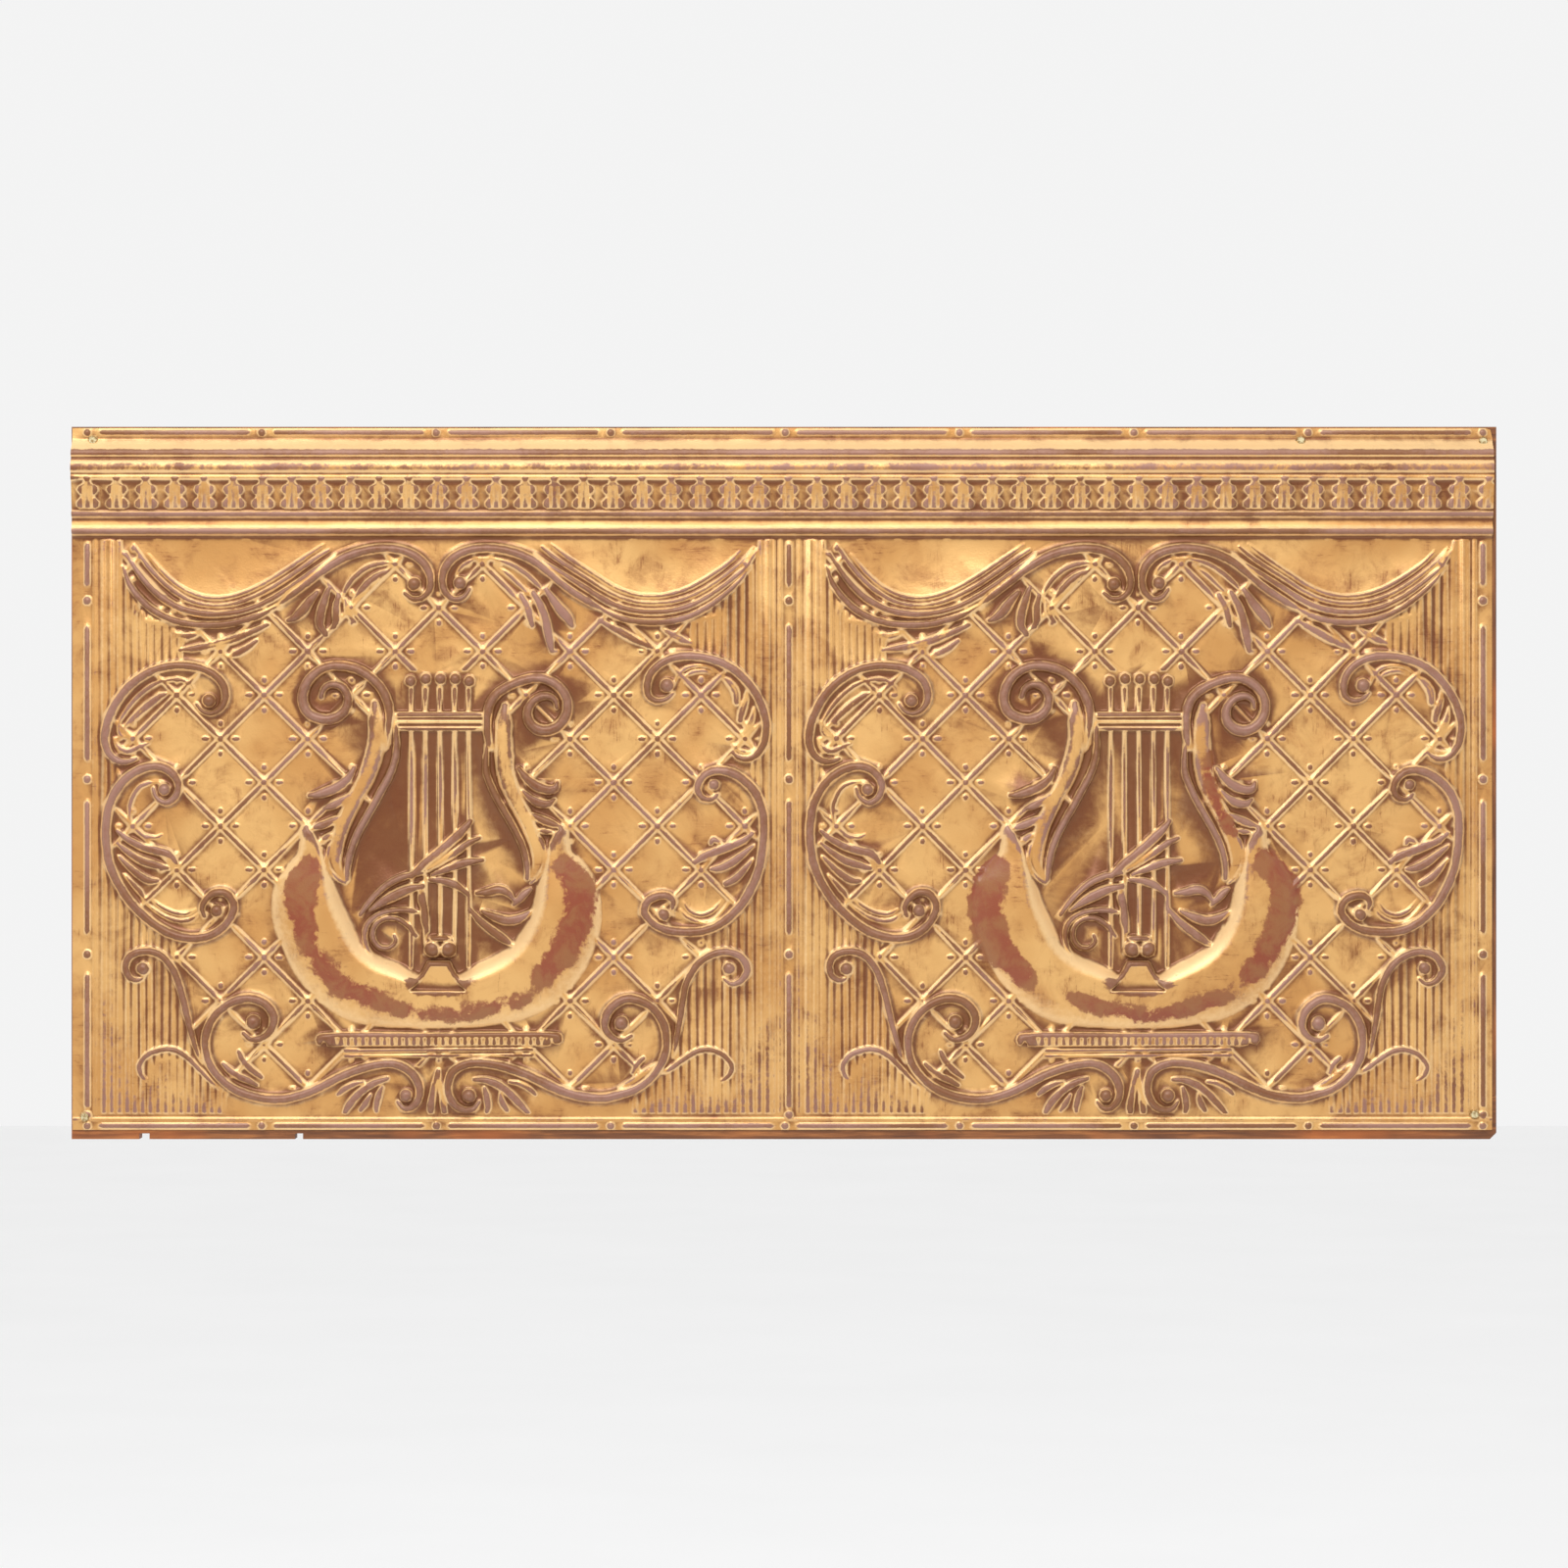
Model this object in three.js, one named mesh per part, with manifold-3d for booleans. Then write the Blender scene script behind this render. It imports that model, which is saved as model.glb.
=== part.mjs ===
// A gilt stamped tin panel, screwed to a frame of four wooden battens.
// Millimetres: +X to the right, +Y into the wall and +Z up.
// The origin is the middle of the top rail's back face, where the panel is hung.
import * as THREE from 'three';
import { mergeVertices } from 'three/addons/utils/BufferGeometryUtils.js';
import Module from 'manifold-3d';

const wasm = await Module();
wasm.setup();

// Driving dimensions of the frame
const FRAME_WIDTH = 1252.8;
const FRAME_HEIGHT = 626.4;
const BATTEN_WIDTH = 38;
const BATTEN_DEPTH = 19;
const FIT_GAP = 0.3;
const CORNER_WEAR = 4;
const NOTCH_DEPTH = 5;
const NOTCHES = [{ x: -562.5, width: 9 }, { x: -426.5, width: 7 }];

// Driving dimensions of the sheet, drawn flat: x across, y up and z out of the sheet.
// The drawing's own zero lies level with the middle of the lyres' strings.
const DRAWING_DROP = 333;
const SHEET_LEFT = -625.5;
const SHEET_RIGHT = 622.5;
const SHEET_TOP = 350.7;
const SHEET_BOTTOM = -266.2;
const SHEET_CORNER = 5;
const SHEET_THICKNESS = 0.8;
const ROOT = -SHEET_THICKNESS / 2;
const WELD = 0.01;
const GROUND = 0.05;
const SHORTEST_EDGE = 3;
const LEAST_AGREEMENT = 0.5;

// The two pressings of the same die, the second one stretched a little less
const REPEATS = [{ x: -303.3, stretch: 1 }, { x: 311.1, stretch: 0.986 }];
const FIELD_TOP = 253;
const FIELD_BOTTOM = -250;

// How finely a curved rib is stepped
const TURN_STEP = THREE.MathUtils.degToRad(42);
const LONGEST_STEP = 70;

const gilt = new THREE.MeshStandardMaterial({ color: 0xc4913f, roughness: 0.45, metalness: 0.55 });
const wood = new THREE.MeshStandardMaterial({ color: 0x8f5222, roughness: 0.75, metalness: 0 });
const steel = new THREE.MeshStandardMaterial({ color: 0xd6cda6, roughness: 0.4, metalness: 0.8 });

// Solids

function solid(positions, triangles) {
  return new wasm.Manifold(new wasm.Mesh({
    numProp: 3,
    vertProperties: new Float32Array(positions),
    triVerts: new Uint32Array(triangles),
  }));
}

function solidOf(geometry) {
  const bare = geometry.index ? geometry.toNonIndexed() : geometry;
  bare.deleteAttribute('normal');
  bare.deleteAttribute('uv');
  const merged = mergeVertices(bare, 1e-4);
  return solid(merged.attributes.position.array, merged.index.array);
}

// A solid's surface, with vertices closer than WELD made one and the slivers between them dropped
function geometryOf(body) {
  const mesh = body.getMesh();
  const geometry = new THREE.BufferGeometry();
  geometry.setAttribute('position', new THREE.BufferAttribute(mesh.vertProperties, 3));
  geometry.setIndex(new THREE.BufferAttribute(mesh.triVerts, 1));
  const welded = mergeVertices(geometry, WELD);
  const kept = [];
  for (let i = 0; i < welded.index.count; i += 3) {
    const [a, b, c] = [0, 1, 2].map((k) => welded.index.getX(i + k));
    if (a !== b && b !== c && c !== a) kept.push(a, b, c);
  }
  welded.setIndex(kept);
  const faceted = welded.toNonIndexed();
  faceted.computeVertexNormals();
  return faceted;
}

// The same surface with edges shorter than SHORTEST_EDGE drawn together, where that turns no face over.
// Such slivers come where ribs cross at a slant. What lies on the flat ground stays on it.
function withoutSlivers(geometry) {
  geometry.deleteAttribute('normal');
  const merged = mergeVertices(geometry, WELD);
  const points = [];
  for (let i = 0; i < merged.attributes.position.count; i += 1) {
    points.push(new THREE.Vector3().fromBufferAttribute(merged.attributes.position, i));
  }
  const faces = [];
  const around = points.map(() => new Set());
  for (let i = 0; i < merged.index.count; i += 3) {
    const face = [0, 1, 2].map((k) => merged.index.getX(i + k));
    face.forEach((point) => around[point].add(face));
    faces.push(face);
  }
  const normal = (face, swap) => {
    const [a, b, c] = face.map((point) => points[swap && point === swap.from ? swap.to : point]);
    return b.clone().sub(a).cross(c.clone().sub(a));
  };
  const neighbours = (point) => new Set([...around[point]].flat().filter((other) => other !== point));
  const gone = new Set();
  const draw = (from, to) => {
    if (points[from].z < GROUND && Math.abs(points[from].z - points[to].z) > WELD) return false;
    const beside = neighbours(from);
    if ([...neighbours(to)].filter((point) => beside.has(point)).length !== 2) return false;
    const turning = [...around[from]].filter((face) => !face.includes(to));
    for (const face of turning) {
      const before = normal(face);
      const after = normal(face, { from, to });
      if (before.dot(after) < LEAST_AGREEMENT * before.length() * after.length() || after.length() < WELD) return false;
    }
    for (const face of [...around[from]]) {
      if (face.includes(to)) {
        face.forEach((point) => around[point].delete(face));
        gone.add(face);
      } else {
        face[face.indexOf(from)] = to;
        around[to].add(face);
      }
    }
    around[from].clear();
    return true;
  };
  for (const limit of [SHORTEST_EDGE / 4, SHORTEST_EDGE / 2, SHORTEST_EDGE]) {
    for (const face of faces) {
      for (let k = 0; k < 3 && !gone.has(face); k += 1) {
        const [from, to] = [face[k], face[(k + 1) % 3]];
        if (points[from].distanceTo(points[to]) < limit && !draw(from, to)) draw(to, from);
      }
    }
  }
  const tidy = new THREE.BufferGeometry();
  const corners = faces.filter((face) => !gone.has(face)).flat();
  tidy.setAttribute('position', new THREE.Float32BufferAttribute(corners.flatMap((k) => points[k].toArray()), 3));
  tidy.computeVertexNormals();
  return tidy;
}

function joined(bodies) {
  let level = bodies;
  while (level.length > 1) {
    const next = [];
    for (let i = 0; i < level.length; i += 2) {
      next.push(i + 1 < level.length ? level[i].add(level[i + 1]) : level[i]);
    }
    level = next;
  }
  return level[0];
}

// A skin over a grid of points, closed into a solid: rows run along, columns across,
// from the left foot over the top to the right foot.
function closedLoft(rows) {
  const across = rows[0].length;
  const positions = rows.flat(2);
  const triangles = [];
  for (let i = 0; i + 1 < rows.length; i += 1) {
    for (let j = 0; j < across; j += 1) {
      const here = i * across + j;
      const beside = i * across + (j + 1) % across;
      triangles.push(here, beside, here + across, beside, beside + across, here + across);
    }
  }
  const last = (rows.length - 1) * across;
  for (let j = 1; j + 1 < across; j += 1) {
    triangles.push(0, j + 1, j);
    triangles.push(last, last + j, last + j + 1);
  }
  return solid(positions, triangles);
}

// A straight-sided block over an outline in the drawing
function block(outline, low, high) {
  const shape = new THREE.Shape(outline.map(([x, y]) => new THREE.Vector2(x, y)));
  const geometry = new THREE.ExtrudeGeometry(shape, { depth: high - low, bevelEnabled: false });
  geometry.translate(0, 0, low);
  return solidOf(geometry);
}

function box(x0, x1, y0, y1, low, high) {
  return block([[x0, y0], [x1, y0], [x1, y1], [x0, y1]], low, high);
}

// Ribs: each point is [x, y, half width] on a smooth curve

function stations(points, turnStep = TURN_STEP) {
  const curve = new THREE.CatmullRomCurve3(points.map((p) => new THREE.Vector3(...p)));
  const fine = curve.getPoints(points.length * 8);
  const kept = [{ at: fine[0], way: fine[1].clone().sub(fine[0]) }];
  let turned = 0;
  let run = 0;
  for (let i = 1; i + 1 < fine.length; i += 1) {
    const before = fine[i].clone().sub(fine[i - 1]);
    const after = fine[i + 1].clone().sub(fine[i]);
    turned += Math.abs(Math.atan2(before.x * after.y - before.y * after.x, before.x * after.x + before.y * after.y));
    run += before.length();
    if (turned > turnStep || run > LONGEST_STEP) {
      kept.push({ at: fine[i], way: before.add(after) });
      turned = 0;
      run = 0;
    }
  }
  const end = fine[fine.length - 1];
  const spare = kept[kept.length - 1];
  if (kept.length > 2 && turned < turnStep / 3 && run < LONGEST_STEP / 6) kept.pop();
  kept.push({ at: end, way: end.clone().sub(fine[fine.length - 2]), spare });
  return kept;
}

function sideways({ way }) {
  const length = Math.hypot(way.x, way.y);
  return [-way.y / length, way.x / length];
}

// A rib with a flat or a sharp crest. The ends are lower than the middle.
function rib(height, points, { flat = 0.5, endHeight = 0.55, turn = TURN_STEP } = {}) {
  const line = stations(points, turn);
  const rows = line.map((station, i) => {
    const [nx, ny] = sideways(station);
    const { x, y, z: half } = station.at;
    const top = i === 0 || i === line.length - 1 ? height * endHeight : height;
    const crest = flat > 0 ? [[half * flat, top], [-half * flat, top]] : [[0, top]];
    const corners = [[half, ROOT], [half, 0], ...crest, [-half, 0], [-half, ROOT]];
    return corners.map(([side, z]) => [x + nx * side, y + ny * side, z]);
  });
  return closedLoft(rows);
}

function straightRib(height, [x0, y0], [x1, y1], half, flat = 0) {
  return rib(height, [[x0, y0, half], [x1, y1, half]], { flat, endHeight: 1 });
}

// A leaf seen from above as a kite, with its midrib raised
function leaf(height, half, root, belly, tip) {
  const length = Math.hypot(tip[0] - root[0], tip[1] - root[1]);
  const nx = -(tip[1] - root[1]) / length * half;
  const ny = (tip[0] - root[0]) / length * half;
  const positions = [
    [...root, ROOT], [belly[0] - nx, belly[1] - ny, ROOT], [...tip, ROOT],
    [belly[0] + nx, belly[1] + ny, ROOT], [...belly, height],
  ].flat();
  return solid(positions, [0, 1, 4, 1, 2, 4, 2, 3, 4, 3, 0, 4, 0, 2, 1, 0, 3, 2]);
}

function knob(x, y, radius, height, sides = 5) {
  const geometry = new THREE.ConeGeometry(radius, height - ROOT, sides);
  geometry.rotateX(Math.PI / 2);
  geometry.translate(x, y, (height + ROOT) / 2);
  return solidOf(geometry);
}

// Acanthus scrolls: height, then the crest

const SCROLLS = {
  upperLeftC: [6.5, [[-213, 108, 1.6], [-200, 100, 2.4], [-187.5, 113, 4], [-196, 133, 4.6], [-220, 141.6, 4.8],
    [-247, 139, 5], [-272, 124, 5.4], [-288, 100, 5.6], [-293, 74, 5], [-282, 58.5, 3.8], [-266, 60, 2.2]]],
  upperRightC: [6.5, [[206, 118, 1.6], [191, 111, 2.6], [183, 124, 4], [193, 142.5, 4.6], [215, 150.3, 4.8],
    [240, 147.5, 5], [262, 136.5, 5.2], [278, 118, 5.2], [287, 95, 5.2], [285, 72, 4.6], [271, 60, 3.4], [258, 66, 1.8]]],
  lowerLeftC: [7, [[-251, 34, 1.6], [-240, 21.5, 3], [-228.5, 35, 4.2], [-237.5, 50, 4.8], [-257, 52.5, 5.2],
    [-277, 40.5, 5.4], [-289, 20, 5.4], [-292.5, -5, 5.4], [-289.5, -31, 5.4], [-279, -54, 5.4], [-262, -75, 5.4],
    [-239, -92, 5.4], [-213, -97.5, 5], [-189, -87.5, 4.6], [-180.5, -67, 4.6], [-196.5, -57.5, 4], [-206, -72, 2]]],
  lowerRightC: [7, [[245, 29, 1.6], [231.5, 26, 3.2], [230, 41.5, 4.4], [247, 50, 5], [267, 42, 5.2], [280.5, 26, 5.4],
    [285.5, 3.5, 5.4], [284, -23, 5.4], [278.5, -45, 5.4], [267.5, -66, 5.4], [249.5, -83.5, 5.4], [225, -92, 5],
    [198.5, -89.5, 4.8], [181, -74.5, 4.6], [192, -60.5, 4.4], [205, -69, 2.4]]],
  leftS: [6.5, [[-258, -131, 1.8], [-272, -131.5, 3.6], [-272, -114.5, 4.6], [-256, -109, 4.6], [-239.5, -116.5, 4.4],
    [-229, -136, 4], [-221.5, -165, 3.6], [-213, -195, 2.8], [-207.5, -208, 2.2]]],
  rightS: [6.5, [[250, -133, 1.8], [266, -134.5, 3.6], [268, -117, 4.6], [250, -109.5, 4.6], [229.5, -118.5, 4.4],
    [217, -139, 4], [212.5, -165, 3.6], [208, -190, 2.8], [205.5, -202, 2.2]]],
  leftTendril: [5, [[-256, -223, 1.6], [-263, -209, 3], [-247, -196.5, 3.4], [-229.5, -197, 3.4], [-214.5, -208.5, 3],
    [-190, -231, 2.8]]],
  rightTendril: [5, [[246.5, -224, 1.6], [257.5, -210.5, 3], [246, -198, 3.4], [225, -198, 3.4], [203, -212.5, 3],
    [191, -217.5, 3]]],
  leftRunner: [7, [[-172, -181, 2], [-155, -185, 4], [-144.8, -169, 5], [-155.5, -153.5, 5], [-177, -152, 5],
    [-197, -166, 5], [-205.5, -190, 5], [-198, -214, 5], [-178.5, -230.5, 5], [-152, -238.5, 5], [-124, -236, 5],
    [-96, -224, 5], [-68, -212, 5], [-41, -207.5, 5], [-21.5, -218.5, 5], [-18, -239, 4.4], [-34, -244, 2]]],
  rightRunner: [7, [[34, -243, 2], [14, -244, 4.4], [8, -225, 5], [20, -209.5, 5], [44, -207.5, 5.4], [72, -215.5, 5.6],
    [100, -228, 5.6], [129, -237, 5.4], [160, -234.5, 5.2], [186, -220.5, 5], [200, -195.5, 5], [196, -169.5, 5],
    [177, -152.8, 5], [154.5, -156, 5], [146, -176, 4.4], [165, -186, 2]]],
  leftCrest: [7, [[-140, 196.5, 3.6], [-116, 214.5, 4.6], [-91, 232.5, 5], [-62, 243.5, 5], [-33, 243.3, 5],
    [-11.5, 229.5, 4.8], [-8, 208.5, 3.8], [-23, 200.5, 2.4], [-30, 205.5, 1.8]]],
  rightCrest: [7, [[142, 193, 3.6], [118, 207, 4.6], [95, 225.5, 5], [69, 240.5, 5], [40, 245, 5], [14, 237.5, 5],
    [3, 217.5, 4.4], [13, 200.5, 3], [27, 209, 1.8]]],
};

// The round ends of the scrolls: x, y, radius, height
const SCROLL_EYES = [[-202, 111, 6.4, 7.5], [200.5, 124.5, 6.6, 7.5], [-241, 33, 6, 7.5], [241.5, 37.5, 5.6, 7],
  [-195, -73.5, 6.2, 7.5], [197.5, -77, 6.4, 7.5], [-260, -124.5, 6.6, 7], [255, -124, 6.2, 7], [-163, -171.5, 7, 7.5],
  [160.5, -172.5, 7, 7.5], [-28.5, -236, 6.2, 7.5], [26.5, -236, 6.6, 7.5], [-21.5, 213.5, 6.4, 7.5],
  [18.5, 214.5, 6.2, 7.5]];

// Swags: four strands from hem to roll, each with a height and its crest

const SWAGS = [
  [[3.4, [[-256, 240], [-228, 211], [-200, 200.8], [-155, 213], [-101, 248.5]]],
    [4.4, [[-268.5, 248], [-243, 215.5], [-200, 194.3], [-152, 207.3], [-96, 244]]],
    [6.6, [[-275, 241], [-250, 207.5], [-200, 187], [-147, 200], [-91, 240]]],
    [7, [[-277.5, 229], [-256, 194.5], [-210, 177.8], [-156, 187], [-100, 222]]]],
  [[3.4, [[98, 249], [152, 211.5], [203, 204.3], [233, 217], [265, 243]]],
    [4.4, [[90, 246.5], [146, 208], [200, 197], [246, 216.5], [277, 246]]],
    [6.6, [[84, 240.5], [143, 201], [198, 189], [246, 208.5], [277, 238]]],
    [7, [[104, 220], [153, 186.5], [200, 180.8], [244, 199], [274, 229]]]],
];
const SWAG_STEPS = 7;
const SWAG_EDGE = 4.5;
const SWAG_VALLEY = 0.55;

function swag(strands) {
  const lines = strands.map(([height, points]) => ({
    height,
    at: new THREE.CatmullRomCurve3(points.map(([x, y]) => new THREE.Vector3(x, y, 0))).getSpacedPoints(SWAG_STEPS),
  }));
  const rows = [];
  for (let i = 0; i <= SWAG_STEPS; i += 1) {
    const end = i === 0 || i === SWAG_STEPS ? 0.4 : 1;
    const crests = lines.map(({ at, height }) => [at[i].x, at[i].y, height * end]);
    const across = new THREE.Vector2(crests[3][0] - crests[0][0], crests[3][1] - crests[0][1]).setLength(SWAG_EDGE);
    const above = [crests[0][0] - across.x, crests[0][1] - across.y];
    const below = [crests[3][0] + across.x, crests[3][1] + across.y];
    const row = [[...above, ROOT], [...above, 0]];
    crests.forEach((crest, k) => {
      if (k > 0) {
        const last = crests[k - 1];
        row.push([(last[0] + crest[0]) / 2, (last[1] + crest[1]) / 2, Math.min(last[2], crest[2]) * SWAG_VALLEY]);
      }
      row.push(crest);
    });
    row.push([...below, 0], [...below, ROOT]);
    rows.push(row);
  }
  return closedLoft(rows);
}

// Lattice of crossed ribs, laid out on its own slanted axes u and v, with a rib at each whole number

const LATTICE_PITCH = 38.4;
const LATTICE_CENTRE = 116;
const LATTICE_HALF = 3.6;
const LATTICE_HEIGHT = 3;
const LATTICE_FLOOR = -0.1;
const LATTICE_CELLS = { low: -9, high: 8 };

function latticePoint(u, v, z) {
  return [LATTICE_PITCH * (u + v), LATTICE_CENTRE + LATTICE_PITCH * (u - v), z];
}

function lattice() {
  const { low, high } = LATTICE_CELLS;
  const foot = LATTICE_HALF / (LATTICE_PITCH * Math.SQRT2);
  const positions = [];
  const triangles = [];
  const corner = (u, v, z) => positions.push(...latticePoint(u, v, z)) / 3 - 1;
  const quad = (a, b, c, d) => triangles.push(a, b, c, a, c, d);
  const across = high - low + 1;
  for (const z of [LATTICE_HEIGHT, ROOT]) {
    for (let u = low; u <= high; u += 1) {
      for (let v = low; v <= high; v += 1) corner(u, v, z);
    }
  }
  const node = (u, v, layer) => layer * across * across + (u - low) * across + (v - low);
  for (let u = low; u < high; u += 1) {
    for (let v = low; v < high; v += 1) {
      const tops = [node(u, v, 0), node(u, v + 1, 0), node(u + 1, v + 1, 0), node(u + 1, v, 0)];
      const feet = [[foot, foot], [foot, 1 - foot], [1 - foot, 1 - foot], [1 - foot, foot]]
        .map(([du, dv]) => corner(u + du, v + dv, LATTICE_FLOOR));
      tops.forEach((top, k) => quad(top, tops[(k + 1) % 4], feet[(k + 1) % 4], feet[k]));
      quad(...feet);
      quad(node(u, v, 1), node(u + 1, v, 1), node(u + 1, v + 1, 1), node(u, v + 1, 1));
    }
  }
  for (let k = low; k < high; k += 1) {
    quad(node(low, k, 1), node(low, k + 1, 1), node(low, k + 1, 0), node(low, k, 0));
    quad(node(high, k + 1, 1), node(high, k, 1), node(high, k, 0), node(high, k + 1, 0));
    quad(node(k + 1, low, 1), node(k, low, 1), node(k, low, 0), node(k + 1, low, 0));
    quad(node(k, high, 1), node(k + 1, high, 1), node(k + 1, high, 0), node(k, high, 0));
  }
  return solid(positions, triangles);
}

// Fields of upright reeds at both ends, and the plain fields inside the swags and the lyre

const REED_HEIGHT = 2.4;
const REED_VALLEY = 0.3;
const REED_FIELDS = [
  { start: -297.5, pitch: 6.75, count: 13, outline: [[-298, 250], [-279, 250], [-279, 232], [-272, 208], [-256, 190],
    [-216, 168], [-226, 156], [-240, 141], [-260, 133], [-281, 113], [-292, 86], [-290, 66], [-277, 45], [-289, 20],
    [-292, 0], [-290, -30], [-279, -54], [-262, -75], [-240, -92], [-224, -98], [-234, -112], [-229, -136],
    [-221, -165], [-213, -195], [-206, -210], [-190, -231], [-187, -250], [-298, -250]] },
  { start: 205.5, pitch: 7.25, count: 13, outline: [[297, 250], [297, -250], [168, -250], [176, -229], [206, -202],
    [212, -165], [217, -139], [229, -119], [234, -106], [228, -92], [250, -83], [274, -55], [284, -23], [285, 10],
    [276, 34], [280, 62], [288, 84], [283, 107], [270, 128], [250, 143], [226, 150], [218, 172], [248, 196],
    [272, 222], [281, 250]] },
];

// Some of a scroll's crest, from one of its points to another
function crest(name, from, to) {
  const points = SCROLLS[name][1].map(([x, y]) => [x, y]);
  return from < to ? points.slice(from, to + 1) : points.slice(to, from + 1).reverse();
}

// The lattice fills what the scrolls, the leaves and the swags leave open
const LATTICE_FIELD = [
  ...crest('upperLeftC', 5, 10), ...crest('lowerLeftC', 4, 1), [-236, 0], [-230, -32], [-240, -36], [-249, -48],
  [-254, -70], [-225, -84], ...crest('lowerLeftC', 16, 12), ...crest('leftS', 4, 7), ...crest('leftRunner', 6, 0),
  [-180, -194], [-168, -210], [-156, -226], ...crest('leftRunner', 9, 12), [-86, -199], [-100, -186],
  [100, -186], [86, -198], ...crest('rightRunner', 5, 8), [158, -228], [176, -218], [176, -196],
  ...crest('rightRunner', 15, 11), ...crest('rightS', 7, 4), ...crest('lowerRightC', 11, 15), [225, -86], [250, -72],
  [250, -50], [238, -37], [226, -31], [236, 0], ...crest('lowerRightC', 1, 4), ...crest('upperRightC', 10, 4),
  [208, 165], [190, 155], [166, 168], [138, 184], [113, 184], [99, 156], [84, 180], [66, 206], [50, 229], [30, 228],
  ...crest('rightCrest', 8, 6), ...crest('leftCrest', 6, 8), [-43, 226], [-62, 214], [-78, 188], [-98, 172], [-119, 190],
  [-146, 180], [-190, 162], [-222, 155],
];
const LYRE_FIELD = [[-44, 102], [-52, 123], [-69, 137.5], [-92, 141.8], [-112, 132], [-119.5, 111], [-107, 96],
  [-66, 84], [-64, 62], [-78, 32], [-92, 4], [-112, -20], [-128, -42], [-136, -75], [-122, -120], [-96, -146],
  [-60, -162], [0, -168], [60, -162], [96, -144], [122, -118], [134, -75], [124, -42], [108, -20], [92, 2], [78, 28],
  [66, 56], [66, 76], [95.5, 85], [111.5, 97.5], [109.5, 118], [92, 130.5], [70, 127.5], [51, 117], [42.5, 96]];

function reeds({ start, pitch, count, outline }) {
  const shape = [new THREE.Vector2(start, ROOT)];
  for (let k = 0; k < count; k += 1) {
    shape.push(new THREE.Vector2(start + pitch * k, REED_VALLEY));
    shape.push(new THREE.Vector2(start + pitch * (k + 0.5), REED_HEIGHT));
  }
  shape.push(new THREE.Vector2(start + pitch * count, REED_VALLEY), new THREE.Vector2(start + pitch * count, ROOT));
  const depth = FIELD_TOP - FIELD_BOTTOM;
  const geometry = new THREE.ExtrudeGeometry(new THREE.Shape(shape), { depth, bevelEnabled: false });
  geometry.rotateX(Math.PI / 2);
  geometry.translate(0, FIELD_TOP, 0);
  return solidOf(geometry).intersect(block(outline, -1, 10));
}

function groundPattern() {
  const open = block(LATTICE_FIELD, -1, 10).subtract(block(LYRE_FIELD, -2, 11));
  return [lattice().intersect(open), ...REED_FIELDS.map(reeds)];
}

// The lyre

const BODY_HEIGHT = 13;
// crest x, y, reach inwards, reach outwards, share of the full height
const LYRE_BODY = [[-112, -4, 4, 5, 0.3], [-104, -34, 14, 32, 0.6], [-99, -70, 18, 48, 0.9], [-83, -105, 18, 48, 1],
  [-57, -128, 18, 44, 1], [-20, -139, 14, 37, 1], [20, -139.5, 14, 36, 1], [55, -127.5, 18, 43, 1],
  [83, -103.5, 18, 48, 1], [96.5, -70, 18, 46, 0.9], [99, -34, 14, 32, 0.6], [104, -4, 4, 5, 0.3]];
const LYRE_RIBS = [
  // volutes
  [8.5, [[-45.5, 75, 4.6], [-43.3, 102, 4.8], [-51.5, 123, 4.8], [-69, 137.5, 4.8], [-92, 141.8, 4.8], [-112, 132, 5],
    [-119.5, 111, 5.4], [-107, 96, 5.6], [-87.5, 98, 5.4], [-80, 115.5, 4.6], [-94, 125.5, 3.6], [-103.5, 114.5, 2.2]]],
  [8.5, [[45.5, 70, 4.6], [42.5, 96, 4.8], [51, 117, 4.8], [70, 127.5, 4.8], [92, 130.5, 4.8], [109.5, 118, 5],
    [111.5, 97.5, 5.4], [95.5, 85, 6], [79, 94.5, 5.2], [85, 112.5, 4.2], [102, 112, 3], [104, 105, 2.2]]],
  // lips beside the strings
  [7.5, [[-38.5, 100, 2.2], [-37, 72, 3.2], [-50, 33, 3.8], [-71.5, -6, 3.8], [-81, -46, 2.6]]],
  [7.5, [[42, 74, 2.2], [41.5, 49, 3.4], [53, 22, 3.8], [74, -17, 3.8], [78, -45, 2.6]]],
  // bands of the arms
  [6, [[-56, 108, 4], [-54, 82, 8.6], [-66, 40, 8.4], [-86, -2, 7.4], [-86, -43, 4]]],
  [6, [[58, 106, 4], [57, 66, 9], [68, 24, 8.6], [85.5, -18, 7], [83, -43, 4]]],
  // cuffs where the arms enter the body
  [6.5, [[-91, -8, 1.4], [-97.5, -29, 3], [-82, -49, 1.4]]],
  [6.5, [[83, -2, 1.4], [93, -22, 3], [80.5, -49.5, 1.4]]],
];
const STRINGS = [-24.4, -12, 0.8, 13.8, 26];
const STRING_TOP = 122;
const CROSSBAR = [92.6, 8.4, 6];

function lyreBody() {
  const mids = LYRE_BODY.map(([x, y]) => new THREE.Vector2(x, y));
  const rows = LYRE_BODY.map(([x, y, inwards, outwards, share], i) => {
    const way = mids[Math.min(i + 1, mids.length - 1)].clone().sub(mids[Math.max(i - 1, 0)]).normalize();
    const high = BODY_HEIGHT * share;
    // the crest line runs counter-clockwise, so the strings' side is on its left
    const section = [[inwards, ROOT], [inwards, 0], [inwards * 0.6, high * 0.6], [0, high],
      [-outwards * 0.62, high * 0.72], [-outwards, 0], [-outwards, ROOT]];
    return section.map(([side, z]) => [x - way.y * side, y + way.x * side, z]);
  });
  return closedLoft(rows);
}

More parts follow.
